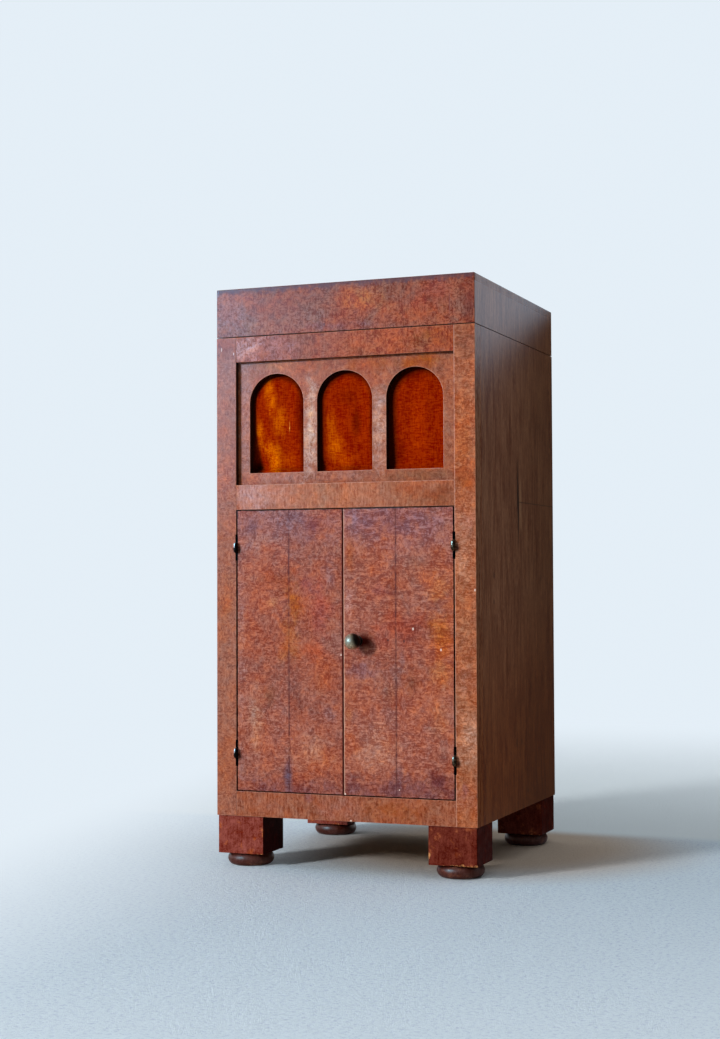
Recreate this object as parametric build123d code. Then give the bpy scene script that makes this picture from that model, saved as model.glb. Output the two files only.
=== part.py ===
from build123d import *
import os
from math import asin, cos, degrees, radians, sin, sqrt

os.makedirs("parts", exist_ok=True)

# A small floor-standing cabinet with a lift-up lid, an arcaded front backed with velvet and a
# two-door cupboard. Millimetres, +Z up, doors towards -Y. The origin is on the floor, in the
# middle of the overall width and depth.

# ------------------------------------------------------------------ driving dimensions
# Carcass
case_width = 420.0
case_depth = 420.0
bottom_rail_height = 38.0
door_opening_height = 430.5
middle_rail_height = 38.0
recess_height = 189.5
top_rail_height = 39.0
stile_width = 33.0
frame_thickness = 30.0
side_thickness = 15.0
back_panel_thickness = 6.0
bottom_board_thickness = 15.0
back_rail_height = 60.0
back_rail_thickness = 18.0
back_rail_rebate = 12.0
back_screw_end = 40.0
cupboard_screw_rows = 4
upper_screw_rows = 2
back_screw_spread = 220.0

# Joinery
tenon_length = 14.0
tenon_thickness = 10.0
tenon_shoulder = 4.0
tongue_thickness = 5.0
tongue_depth = 6.0
housing_depth = 5.0
back_rebate_width = 7.5
glue_clearance = 0.1
loose_clearance = 0.5
edge_round = 0.6
cut_margin = 1.0

# Feet
bun_diameter = 71.0
bun_end_diameter = 56.0
bun_height = 20.0
block_side = 75.0
block_height = 57.5
block_inset = 1.7
block_round = 1.5
spigot_diameter = 20.0
spigot_length = 28.0
corner_block_side = 55.0
foot_screw_spacing = 28.0

# Arcade: the panel is set back in the front frame, the velvet and its frame lie behind it
recess_depth = 9.0
panel_thickness = 12.0
panel_rebate = 6.0
arch_count = 3
arch_width = 90.0
mullion_width = 22.5
arch_sill = 18.5
arch_head = 19.0
velvet_thickness = 1.8
velvet_margin = 9.0
soft_gap = 0.3
velvet_frame_border = 14.0
velvet_screw_inset = 4.5

# Inner boards
ceiling_thickness = 12.0
ceiling_drop = 12.0
shelf_thickness = 12.0
shelf_clear_height = 310.0
shelf_setback = 30.0
deck_thickness = 12.0
deck_depth_below_rim = 30.0
cleat_size = 18.0
cleat_setback = 14.0
cleat_screw_end = 46.0
deck_screw_end = 18.0

# Doors
door_thickness = 18.0
door_side_gap = 1.8
door_end_gap = 1.2
meeting_gap = 1.8
meeting_bevel = 1.2
stop_height = 12.0
stop_gap = 0.4

# Olive hinges of the doors
olive_radius = 3.5
olive_tip_radius = 1.2
olive_height = 16.6
olive_straight = 3.2
olive_gap = 0.3
olive_face_gap = 0.3
olive_pin_radius = 1.4
olive_pin_reach = 6.0
olive_leaf_height = 40.0
olive_leaf_depth = 16.0
olive_leaf_thickness = 1.2
olive_neck_height = 6.0
door_hinge_inset = 58.0
running_clearance = 0.05

# Knob, spindle and latch tongue of the right door
knob_radius = 12.0
knob_proud = 23.0
knob_offset = 24.5
knob_height = 231.0
knob_neck_radius = 4.2
knob_collar_radius = 7.5
knob_collar_thickness = 2.0
knob_face_gap = 0.3
spindle_radius = 3.0
spindle_grip = 12.0
bush_radius = 5.0
bush_flange_radius = 8.0
bush_flange_thickness = 1.0
tongue_plate_thickness = 2.5
tongue_plate_width = 12.0
tongue_plate_reach = 35.0
nut_radius = 5.0
nut_thickness = 3.5

# Surface bolts of the left door
bolt_radius = 2.0
bolt_offset = 16.0
bolt_plate_length = 50.0
bolt_plate_width = 14.0
bolt_plate_thickness = 1.5
bolt_lug_height = 7.5
bolt_lug_width = 9.0
bolt_lug_depth = 8.0
bolt_travel = 9.0
bolt_tip_gap = 0.8
bolt_plate_gap = 2.0
bolt_screw_spacing = 24.0
bolt_tail = 4.5
bolt_button_radius = 2.5
bolt_button_length = 5.0
keeper_thickness = 1.0
keeper_length = 16.0
keeper_width = 9.0
keeper_hole_radius = 2.6

# Lid
lid_height = 74.3
lid_gap = 1.2
lid_wall = 15.0
lid_top_thickness = 12.0
lid_round = 1.2
buffer_radius = 6.0

# Butt hinges of the lid
butt_length = 50.0
butt_leaf_width = 13.5
butt_leaf_thickness = 1.5
butt_knuckles = 5
butt_knuckle_radius = 3.2
butt_knuckle_gap = 0.1
butt_face_gap = 0.5
butt_pin_radius = 1.5
butt_pin_fit = 0.02
butt_spacing = 230.0
butt_screw_spread = 36.0

# Quadrant stay of the lid
stay_radius = 150.0
stay_width = 10.0
stay_thickness = 2.0
stay_wall_gap = 2.6
stay_top_angle = 22.0
stay_end_angle = 83.5
stay_screw_angles = (8.0, 18.0)
stay_boss_radius = 4.5
stop_stud_radius = 2.5
stop_stud_length = 4.0
stop_stud_margin = 1.0
guide_length = 34.0
guide_height = 14.0
guide_depth = 9.0
guide_screw_spacing = 25.0
guide_height_above_deck = 16.0
guide_clearance = 0.5
stay_notch_margin = 4.0

# Screws: shank diameter and length, and how many stand in a row
screw_head_ratio = 2.0
screw_slot_width = 0.6
screw_slot_depth = 0.5
drill_clearance = 0.05
row_screws = 3
foot_screw = (5.0, 58.0)
back_screw = (3.0, 18.0)
velvet_frame_screw = (2.5, 16.5)
deck_screw = (3.5, 25.0)
cleat_screw = (3.5, 28.0)
butt_screw = (2.5, 12.0)
stay_screw = (3.0, 15.0)
guide_screw = (3.0, 18.0)
plate_screw = (2.0, 9.0)

# ------------------------------------------------------------------ levels and planes
z_case = bun_height + block_height
z_opening = z_case + bottom_rail_height
z_middle_rail = z_opening + door_opening_height
z_recess = z_middle_rail + middle_rail_height
z_top_rail = z_recess + recess_height
z_rim = z_top_rail + top_rail_height
z_lid = z_rim + lid_gap
z_lid_top = z_lid + lid_height

knob_reach = knob_proud + knob_radius
butt_axis_offset = butt_knuckle_radius + butt_face_gap
butt_reach = butt_axis_offset + butt_knuckle_radius
y_front = knob_reach - (case_depth + knob_reach + butt_reach) / 2
y_back = y_front + case_depth
y_frame_back = y_front + frame_thickness
y_panel = y_front + recess_depth
y_panel_back = y_panel + panel_thickness
y_velvet = y_panel_back + soft_gap
y_velvet_back = y_velvet + velvet_thickness
y_back_inner = y_back - back_panel_thickness
y_door_back = y_front + door_thickness

half_width = case_width / 2
inner_half = half_width - side_thickness
opening_half = half_width - stile_width
pocket_half = opening_half + panel_rebate
rebate_half = inner_half + back_rebate_width
loose_half = inner_half - loose_clearance
z_pocket = (z_recess - panel_rebate, z_top_rail + panel_rebate)
z_floor_board = (z_opening - bottom_board_thickness, z_opening)
z_ceiling = (z_recess - ceiling_drop - ceiling_thickness, z_recess - ceiling_drop)
z_shelf = (z_opening + shelf_clear_height, z_opening + shelf_clear_height + shelf_thickness)
z_deck = (z_rim - deck_depth_below_rim - deck_thickness, z_rim - deck_depth_below_rim)
z_back_rail = z_rim - back_rail_height
z_back_rebate = z_back_rail + back_rail_rebate
y_back_rail = y_back - back_rail_thickness

half_turn = 180.0
sides = {"left": -1, "right": 1}
ends = {"front": -1, "back": 1}
nodes = {}


# ------------------------------------------------------------------ helpers
def slab(x_limits, y_limits, z_limits):
    """A board square to the axes between the given limits."""
    (x0, x1), (y0, y1), (z0, z1) = sorted(x_limits), sorted(y_limits), sorted(z_limits)
    return Pos((x0 + x1) / 2, (y0 + y1) / 2, (z0 + z1) / 2) * Box(x1 - x0, y1 - y0, z1 - z0)


def on_side(side, inner, outer):
    """Limits across the cabinet, from inner to outer, on the side -1 or 1."""
    return (side * inner, side * outer)


def about(centre, size):
    """Limits of a given size about a centre."""
    return (centre - size / 2, centre + size / 2)


def grown(limits, clearance):
    """Limits moved apart by a clearance at each end."""
    low, high = sorted(limits)
    return (low - clearance, high + clearance)


def rod(start, direction, radius, length):
    """A round bar from a point along a direction."""
    base = Plane(origin=start, z_dir=direction)
    return base.location * Cylinder(radius, length, align=(Align.CENTER, Align.CENTER, Align.MIN))


def turned(profile, centre, axis):
    """A profile in the XZ plane, X outwards and Z along the axis, turned about that axis."""
    solid = revolve(Plane.XZ * make_face(profile), Axis.Z)
    return Plane(origin=centre, z_dir=axis).location * solid


def screw(size, clearance=0.0):
    """A countersunk screw with its head at the origin, driven along +Z, or its drilled hole."""
    diameter, length = size
    shank = diameter / 2 + clearance
    head = diameter * screw_head_ratio / 2 + clearance
    low = (Align.CENTER, Align.CENTER, Align.MIN)
    body = Cylinder(shank, length + clearance, align=low) + Cone(head, shank, head - shank, align=low)
    if clearance:
        return body
    return body - Box(2 * head, screw_slot_width, 2 * screw_slot_depth)


def seats(points, direction):
    """Places for screws: a head at each point, driven along the direction."""
    return [Plane(origin=point, z_dir=direction).location for point in points]


def screws(size, places):
    """The screws themselves, as separate solids."""
    return [place * screw(size) for place in places]


def drilled(part, size, places):
    """A part with the holes for its screws."""
    return part - [place * screw(size, drill_clearance) for place in places]


def group(parts):
    """Separate solids in one node."""
    return Compound(list(parts))


def spread(low, high, count):
    """Evenly spaced values from low to high, both included."""
    return [low + (high - low) * i / (count - 1) for i in range(count)]


def front_edges(part, direction):
    """The edges of the foremost face that run along a direction."""
    return part.faces().sort_by(Axis.Y)[0].edges().filter_by(direction)


# ------------------------------------------------------------------ places of the hardware
# Door hinges: axes just in front of the gap between stile and door
door_axis_x = opening_half - door_side_gap / 2
door_axis_y = y_front - olive_radius - olive_face_gap
door_hinge_levels = (z_opening + door_hinge_inset, z_middle_rail - door_hinge_inset)
door_levels = (z_opening + door_end_gap, z_middle_rail - door_end_gap)

# Lid hinges: one axis behind the back face, in the middle of the gap under the lid
lid_axis_y = y_back + butt_axis_offset
lid_axis_z = z_rim + lid_gap / 2
butt_centres = about(0, butt_spacing)

# Knob axis on the right door
knob_x = knob_offset
knob_z = z_opening + knob_height

# Surface bolts near the meeting edge of the left door: one shoots up, one down
bolt_x = -bolt_offset
bolt_y = y_door_back + bolt_plate_thickness + bolt_lug_depth / 2
stop_levels = (z_middle_rail - stop_height, z_middle_rail)
stop_y = (y_door_back + stop_gap, y_frame_back)
bolts = {"upper": (stop_levels[0], 1), "lower": (z_opening, -1)}

# Foot screws: from the cupboard floor through the corner blocks into the foot blocks
foot_x = half_width - block_inset - block_side / 2
foot_y = {"front": y_front + block_inset + block_side / 2, "back": y_back - block_inset - block_side / 2}
corner_x = inner_half - corner_block_side / 2
corner_y = {"front": y_frame_back + corner_block_side / 2, "back": y_back_inner - corner_block_side / 2}
foot_screw_middle = (foot_x + corner_x) / 2
foot_screw_x = about(foot_screw_middle, foot_screw_spacing)
foot_screw_seats = seats(
    [(side * x, (foot_y[end] + corner_y[end]) / 2, z_opening)
     for side in sides.values() for end in ends for x in foot_screw_x],
    (0, 0, -1))

# Back panel screws: into both sides, clear of the housed boards, into the top back rail and into
# the edge of the bottom board
back_screw_x = (inner_half + rebate_half) / 2
back_screw_levels = (
    spread(z_floor_board[1] + back_screw_end, z_ceiling[0] - back_screw_end, cupboard_screw_rows)
    + spread(z_ceiling[1] + back_screw_end, z_back_rail - back_screw_end, upper_screw_rows))
back_screw_seats = seats(
    [(side * back_screw_x, y_back, z) for side in sides.values() for z in back_screw_levels]
    + [(x, y_back, z)
       for x in spread(*about(0, back_screw_spread), row_screws)
       for z in (sum(z_floor_board) / 2, (z_back_rail + z_back_rebate) / 2)],
    (0, -1, 0))

# Cleats: limits along the sides, and their screws into the sides
deck_cleat_y = (y_frame_back + cleat_setback, y_back_rail - cleat_setback)
shelf_cleat_y = (y_frame_back + shelf_setback, y_back_inner - cleat_setback)


def cleat_seats(side, y_limits, z_top):
    """Screws that hold a cleat to a side, driven outwards from its inner face."""
    points = [(side * (inner_half - cleat_size), y, z_top - cleat_size / 2)
              for y in (y_limits[0] + cleat_screw_end, y_limits[1] - cleat_screw_end)]
    return seats(points, (side, 0, 0))


cleat_screw_seats = {
    name: cleat_seats(side, deck_cleat_y, z_deck[0]) + cleat_seats(side, shelf_cleat_y, z_shelf[0])
    for name, side in sides.items()}
deck_screw_seats = seats(
    [(side * (inner_half - cleat_size / 2), y, z_deck[1])
     for side in sides.values()
     for y in spread(deck_cleat_y[0] + deck_screw_end, deck_cleat_y[1] - deck_screw_end, row_screws)],
    (0, 0, -1))

# Velvet frame screws: round its border, outside the velvet, into the arch panel
frame_half = pocket_half - loose_clearance
z_frame = (z_pocket[0] + loose_clearance, z_pocket[1] - loose_clearance)
velvet_screw_x = frame_half - velvet_screw_inset
velvet_screw_z = (z_frame[0] + velvet_screw_inset, z_frame[1] - velvet_screw_inset)
velvet_screw_seats = seats(
    [(x, y_frame_back, z) for x in (-velvet_screw_x, 0, velvet_screw_x) for z in velvet_screw_z]
    + [(x, y_frame_back, sum(velvet_screw_z) / 2) for x in (-velvet_screw_x, velvet_screw_x)],
    (0, -1, 0))

# Lid hinge screws: three in each leaf
butt_screw_points = [(centre + x, y_back - butt_leaf_width / 2)
                     for centre in butt_centres
                     for x in spread(*about(0, butt_screw_spread), row_screws)]
butt_case_seats = seats([(x, y, z_rim) for x, y in butt_screw_points], (0, 0, -1))
butt_lid_seats = seats([(x, y, z_lid) for x, y in butt_screw_points], (0, 0, 1))

# Quadrant stay on the right side: a band about the lid's axis, at a distance from the wall
stay_x = (inner_half - stay_wall_gap - stay_thickness, inner_half - stay_wall_gap)
stay_inner = stay_radius - stay_width / 2
stay_outer = stay_radius + stay_width / 2
stud_angle = stay_end_angle - degrees(asin((stop_stud_radius + stop_stud_margin) / stay_radius))
guide_z = z_deck[1] + guide_height_above_deck
guide_y = lid_axis_y - sqrt(stay_radius ** 2 - (lid_axis_z - guide_z) ** 2)


def stay_point(x, angle):
    """A point on the middle of the stay, at an angle below the axis towards the front."""
    return (x, lid_axis_y - stay_radius * cos(radians(angle)), lid_axis_z - stay_radius * sin(radians(angle)))


def stay_band(inner, outer, x_limits, start, end):
    """A flat band about the lid's axis, between two angles below the axis."""
    arcs = [CenterArc((0, 0), radius, half_turn + start, end - start) for radius in (inner, outer)]
    caps = [Line(arcs[0] @ i, arcs[1] @ i) for i in (0, 1)]
    plane = Plane(origin=(x_limits[0], lid_axis_y, lid_axis_z), x_dir=(0, 1, 0), z_dir=(1, 0, 0))
    return extrude(plane * make_face(arcs + caps), x_limits[1] - x_limits[0], dir=(1, 0, 0))


def stay_notch(z_limits):
    """Room for the stay and its stop stud to pass through a board beside the right wall."""
    low, high = sorted(z_limits)
    front = lid_axis_y - sqrt(stay_outer ** 2 - (lid_axis_z - high) ** 2) - stay_notch_margin
    back = lid_axis_y - sqrt(stay_inner ** 2 - (lid_axis_z - low) ** 2) + stay_notch_margin
    return slab((stay_x[0] - stop_stud_length - cut_margin, half_width), (front, back), z_limits)


stay_screw_seats = seats([stay_point(stay_x[0], -angle) for angle in stay_screw_angles], (1, 0, 0))
guide_screw_seats = seats(
    [(inner_half - guide_depth, y, guide_z) for y in about(guide_y, guide_screw_spacing)], (1, 0, 0))


# ------------------------------------------------------------------ front frame and sides
tenon_y = about(y_front + frame_thickness / 2, tenon_thickness)
rails = {
    "bottom_rail": ((z_case, z_opening), (z_case, z_opening)),
    "middle_rail": ((z_middle_rail, z_recess), (z_middle_rail, z_pocket[0])),
    "top_rail": ((z_top_rail, z_rim), (z_pocket[1], z_rim)),
}
tenon_z = {name: (sound[0] + tenon_shoulder, sound[1] - tenon_shoulder) for name, (_, sound) in rails.items()}
panel_pocket = slab((-pocket_half, pocket_half), (y_panel, y_frame_back), z_pocket)
tongue_x = about((inner_half + half_width) / 2, tongue_thickness)


def olive_leaf(side, on_door, level, clearance=0.0):
    """The leaf of an olive hinge let into the edge of a stile or a door, or its recess."""
    face = opening_half - door_side_gap if on_door else opening_half
    inward = -olive_leaf_thickness - clearance if on_door else olive_leaf_thickness + clearance
    half_height = olive_leaf_height / 2 + clearance
    return slab(on_side(side, face, face + inward),
                (y_front, y_front + olive_leaf_depth + clearance),
                (level - half_height, level + half_height))


def stile(side):
    """A front stile with its mortises, the panel's rebate and the groove for the side."""
    part = slab(on_side(side, opening_half, half_width), (y_front, y_frame_back), (z_case, z_rim))
    part = fillet(front_edges(part, Axis.Z), edge_round)
    part -= panel_pocket
    for z_limits in tenon_z.values():
        part -= slab(on_side(side, opening_half, opening_half + tenon_length + glue_clearance),
                     grown(tenon_y, glue_clearance), grown(z_limits, glue_clearance))
    part -= slab(on_side(side, tongue_x[0] - glue_clearance, tongue_x[1] + glue_clearance),
                 (y_frame_back - tongue_depth - glue_clearance, y_frame_back), (z_case, z_rim))
    for level in door_hinge_levels:
        part -= olive_leaf(side, False, level, glue_clearance)
    return part


def rail(name):
    """A rail between the stiles, with its tenons."""
    z_limits = rails[name][0]
    part = slab((-opening_half, opening_half), (y_front, y_frame_back), z_limits)
    part = fillet(front_edges(part, Axis.X), edge_round)
    part += slab((-opening_half - tenon_length, opening_half + tenon_length), tenon_y, tenon_z[name])
    return part - panel_pocket


def side_board(name):
    """A side with its tongue, the housings of the boards and the rebate of the back panel."""
    side = sides[name]
    part = slab(on_side(side, inner_half, half_width), (y_frame_back, y_back), (z_case, z_rim))
    part += slab(on_side(side, *tongue_x), (y_frame_back - tongue_depth, y_frame_back), (z_case, z_rim))
    part -= slab(on_side(side, inner_half, rebate_half), (y_back_inner, y_back), (z_case, z_rim))
    for board in (z_floor_board, z_ceiling):
        part -= slab(on_side(side, inner_half, inner_half + housing_depth + glue_clearance),
                     (y_frame_back, y_back_inner), grown(board, glue_clearance))
    part = drilled(part, cleat_screw, cleat_screw_seats[name])
    part = drilled(part, back_screw, back_screw_seats)
    if name == "right":
        part = drilled(part, guide_screw, guide_screw_seats)
    return part


for name, side in sides.items():
    nodes[f"front_stile_{name}"] = stile(side)
    nodes[f"side_{name}"] = side_board(name)
for name in rails:
    nodes[name] = rail(name)


# ------------------------------------------------------------------ back
case_plate = (z_rim - butt_leaf_thickness, z_rim)
lid_plate = (z_lid, z_lid + butt_leaf_thickness)


def butt_recess(centre, z_plate):
    """The recess for a leaf of a lid hinge, open at the back."""
    return slab(grown(about(centre, butt_length), glue_clearance),
                (y_back - butt_leaf_width - glue_clearance, y_back), z_plate)


def back_top_rail():
    """The rail that carries the lid hinges, rebated for the back panel."""
    part = slab((-inner_half, inner_half), (y_back_rail, y_back), (z_back_rail, z_rim))
    part -= slab((-inner_half, inner_half), (y_back_inner, y_back), (z_back_rail, z_back_rebate))
    for centre in butt_centres:
        part -= butt_recess(centre, case_plate)
    part = drilled(part, butt_screw, butt_case_seats)
    return drilled(part, back_screw, back_screw_seats)


def back_panel():
    """A thin panel in the rebates of the sides and of the top back rail."""
    half = rebate_half - loose_clearance
    part = slab((-half, half), (y_back_inner, y_back), (z_case, z_back_rebate - loose_clearance))
    return drilled(part, back_screw, back_screw_seats)


nodes["back_top_rail"] = back_top_rail()
nodes["back_panel"] = back_panel()
nodes["back_panel_screws"] = group(screws(back_screw, back_screw_seats))


# ------------------------------------------------------------------ inner boards
def housed_board(z_limits):
    """A board across the case, housed in both sides."""
    half = inner_half + housing_depth
    return slab((-half, half), (y_frame_back, y_back_inner), z_limits)


def cleat(side, y_limits, z_top):
    """A cleat along a side, under a loose board."""
    return slab(on_side(side, inner_half - cleat_size, inner_half), y_limits, (z_top - cleat_size, z_top))


nodes["bottom_board"] = drilled(drilled(housed_board(z_floor_board), foot_screw, foot_screw_seats),
                                back_screw, back_screw_seats)
nodes["cupboard_ceiling"] = housed_board(z_ceiling)
nodes["cupboard_shelf"] = slab((-loose_half, loose_half),
                               (y_frame_back + shelf_setback, y_back_inner - loose_clearance), z_shelf)
deck = slab((-loose_half, loose_half),
            (y_frame_back + loose_clearance, y_back_rail - loose_clearance), z_deck)
nodes["deck_board"] = drilled(deck - stay_notch(z_deck), deck_screw, deck_screw_seats)
back_cleat_half = inner_half - cleat_size - cleat_setback
shelf_cleats = []
deck_cleats = [slab((-back_cleat_half, back_cleat_half), (y_back_rail - cleat_size, y_back_rail),
                    (z_deck[0] - cleat_size, z_deck[0]))]
for name, side in sides.items():
    shelf_cleat = cleat(side, shelf_cleat_y, z_shelf[0])
    shelf_cleats.append(drilled(shelf_cleat, cleat_screw, cleat_screw_seats[name]))
    deck_cleat = cleat(side, deck_cleat_y, z_deck[0])
    if name == "right":
        deck_cleat -= stay_notch((z_deck[0] - cleat_size, z_deck[0]))
    deck_cleat = drilled(deck_cleat, deck_screw, deck_screw_seats)
    deck_cleats.append(drilled(deck_cleat, cleat_screw, cleat_screw_seats[name]))
nodes["shelf_cleats"] = group(shelf_cleats)
nodes["deck_cleats"] = group(deck_cleats)
nodes["inner_board_screws"] = group([
    *screws(cleat_screw, cleat_screw_seats["left"] + cleat_screw_seats["right"]),
    *screws(deck_screw, deck_screw_seats)])


# ------------------------------------------------------------------ arcade
z_sill = z_recess + arch_sill
z_spring = z_top_rail - arch_head - arch_width / 2


def arch_opening(centre):
    """A round-headed opening through the arch panel."""
    half = arch_width / 2
    through = (y_panel - cut_margin, y_panel_back + cut_margin)
    straight = slab((centre - half, centre + half), through, (z_sill, z_spring))
    return straight + rod((centre, through[0], z_spring), (0, 1, 0), half, through[1] - through[0])


def arch_panel():
    """The set-back panel with its row of round-headed openings."""
    part = slab((-frame_half, frame_half), (y_panel, y_panel_back), z_frame)
    for i in range(arch_count):
        part -= arch_opening((i - (arch_count - 1) / 2) * (arch_width + mullion_width))
    rims = [edge for wire in part.faces().sort_by(Axis.Y)[0].inner_wires() for edge in wire.edges()]
    part = fillet(rims, edge_round)
    return drilled(part, velvet_frame_screw, velvet_screw_seats)


def velvet_frame():
    """The open frame that holds the velvet against the back of the arch panel."""
    y_limits = (y_velvet_back + soft_gap, y_frame_back)
    part = slab((-frame_half, frame_half), y_limits, z_frame)
    part -= slab((velvet_frame_border - frame_half, frame_half - velvet_frame_border), y_limits,
                 (z_frame[0] + velvet_frame_border, z_frame[1] - velvet_frame_border))
    return drilled(part, velvet_frame_screw, velvet_screw_seats)


nodes["arch_panel"] = arch_panel()
nodes["velvet_backing"] = slab((velvet_margin - frame_half, frame_half - velvet_margin),
                               (y_velvet, y_velvet_back),
                               (z_frame[0] + velvet_margin, z_frame[1] - velvet_margin))
nodes["velvet_frame"] = velvet_frame()
nodes["velvet_frame_screws"] = group(screws(velvet_frame_screw, velvet_screw_seats))


# ------------------------------------------------------------------ feet
def foot_block(side, end):
    """A square block under a corner of the case, bored for the spigot of its bun foot."""
    part = slab(about(side * foot_x, block_side), about(foot_y[end], block_side), (bun_height, z_case))
    part = fillet(part.edges(), block_round)
    part -= rod((side * foot_x, foot_y[end], bun_height), (0, 0, 1),
                spigot_diameter / 2 + glue_clearance, spigot_length + glue_clearance)
    return drilled(part, foot_screw, foot_screw_seats)


def foot_bun(side, end):
    """A turned bun foot with its spigot."""
    end_radius = bun_end_diameter / 2
    bulge = ThreePointArc((end_radius, 0), (bun_diameter / 2, bun_height / 2), (end_radius, bun_height))
    outline = Polyline((end_radius, bun_height), (spigot_diameter / 2, bun_height),
                       (spigot_diameter / 2, bun_height + spigot_length), (0, bun_height + spigot_length),
                       (0, 0), (end_radius, 0))
    return turned([bulge, *outline.edges()], (side * foot_x, foot_y[end], 0), (0, 0, 1))


def corner_block(side, end):
    """A glued block in a bottom corner of the case, above a foot."""
    part = slab(about(side * corner_x, corner_block_side), about(corner_y[end], corner_block_side),
                (z_case, z_floor_board[0]))
    return drilled(part, foot_screw, foot_screw_seats)


for name, side in sides.items():
    for end in ends:
        nodes[f"foot_block_{end}_{name}"] = foot_block(side, end)
        nodes[f"foot_bun_{end}_{name}"] = foot_bun(side, end)
nodes["corner_blocks"] = group(corner_block(side, end) for side in sides.values() for end in ends)
nodes["foot_screws"] = group(screws(foot_screw, foot_screw_seats))


# ------------------------------------------------------------------ doors and their hinges
def door(side):
    """A flush door whose meeting edge is bevelled so that it clears the other door."""
    outer = opening_half - door_side_gap
    inner = meeting_gap / 2
    outline = Polyline((side * outer, y_front), (side * inner, y_front),
                       (side * (inner + meeting_bevel), y_door_back), (side * outer, y_door_back), close=True)
    footprint = Pos(0, 0, door_levels[0]) * make_face(outline)
    part = extrude(footprint, door_levels[1] - door_levels[0], dir=(0, 0, 1))
    part = fillet(part.faces().sort_by(Axis.Y)[0].edges(), edge_round)
    for level in door_hinge_levels:
        part -= olive_leaf(side, True, level, glue_clearance)
    return part


def olive_half(side, level, on_door):
    """Half of an olive hinge: the lower half is on the stile and holds the pin."""
    up = 1 if on_door else -1
    centre = (side * door_axis_x, door_axis_y, level)
    start = olive_gap / 2
    end = olive_height / 2
    profile = [Polyline((0, end), (0, start), (olive_radius, start), (olive_radius, start + olive_straight)),
               TangentArc((olive_radius, start + olive_straight), (olive_tip_radius, end), tangent=(0, 1)),
               Line((olive_tip_radius, end), (0, end))]
    part = turned([edge for line in profile for edge in line.edges()], centre, (0, 0, up))
    leaf = olive_leaf(side, on_door, level)
    face = opening_half - door_side_gap if on_door else opening_half
    inward = -olive_leaf_thickness if on_door else olive_leaf_thickness
    part += slab(on_side(side, face, face + inward), (door_axis_y, y_front + cut_margin),
                 (level + up * start, level + up * (start + olive_neck_height)))
    part += leaf
    if on_door:
        return part - rod((centre[0], centre[1], level), (0, 0, 1),
                          olive_pin_radius + running_clearance, olive_pin_reach + olive_gap)
    return part + rod((centre[0], centre[1], level - start - olive_straight), (0, 0, 1),
                      olive_pin_radius, start + olive_straight + olive_pin_reach)


doors = {name: door(side) for name, side in sides.items()}
nodes["frame_hinges"] = group(olive_half(side, level, False)
                              for side in sides.values() for level in door_hinge_levels)
for name, side in sides.items():
    nodes[f"door_hinges_{name}"] = group(olive_half(side, level, True) for level in door_hinge_levels)


# ------------------------------------------------------------------ surface bolts and door stop
stop_strip = slab((-opening_half, opening_half), stop_y, stop_levels)
keepers = []
bolt_plates = []
bolt_plate_screws = []
for name, (level, shoot) in bolts.items():
    tip = level - shoot * bolt_tip_gap
    plate_z = (level - shoot * bolt_plate_gap, level - shoot * (bolt_plate_gap + bolt_plate_length))
    plate_y = (y_door_back, y_door_back + bolt_plate_thickness)
    lug_y = (plate_y[1], plate_y[1] + bolt_lug_depth)
    lug_x = about(bolt_x, bolt_lug_width)
    plate = slab(about(bolt_x, bolt_plate_width), plate_y, plate_z)
    plate += slab(lug_x, lug_y, (plate_z[0], plate_z[0] - shoot * bolt_lug_height))
    plate += slab(lug_x, lug_y, (plate_z[1], plate_z[1] + shoot * bolt_lug_height))
    plate -= rod((bolt_x, bolt_y, level), (0, 0, -shoot), bolt_radius + running_clearance,
                 bolt_plate_gap + bolt_plate_length + cut_margin)
    middle = sum(plate_z) / 2
    plate_seats = seats([(bolt_x, plate_y[1], z) for z in about(middle, bolt_screw_spacing)], (0, -1, 0))
    bolt_plates.append(drilled(plate, plate_screw, plate_seats))
    bolt_plate_screws += screws(plate_screw, plate_seats)
    doors["left"] = drilled(doors["left"], plate_screw, plate_seats)
    bolt = rod((bolt_x, bolt_y, tip), (0, 0, -shoot), bolt_radius,
               bolt_plate_gap - bolt_tip_gap + bolt_plate_length + bolt_tail)
    bolt += rod((bolt_x, bolt_y, middle), (0, 1, 0), bolt_button_radius, bolt_radius + bolt_button_length)
    nodes[f"door_bolt_{name}"] = bolt

    keeper = slab(about(bolt_x, keeper_length), about(bolt_y, keeper_width),
                  (level, level + shoot * keeper_thickness))
    shoot_hole = rod((bolt_x, bolt_y, level), (0, 0, shoot), keeper_hole_radius, bolt_travel + cut_margin)
    keepers.append(keeper - shoot_hole)
    if name == "upper":
        stop_strip -= keeper + shoot_hole
    else:
        nodes["bottom_rail"] -= keeper + shoot_hole
nodes["door_stop_strip"] = stop_strip
nodes["bolt_keepers"] = group(keepers)
nodes["bolt_plates"] = group(bolt_plates)
nodes["bolt_plate_screws"] = group(bolt_plate_screws)


# ------------------------------------------------------------------ knob and latch of the right door
def knob_axis(y):
    """A point on the knob's axis."""
    return (knob_x, y, knob_z)


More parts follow.
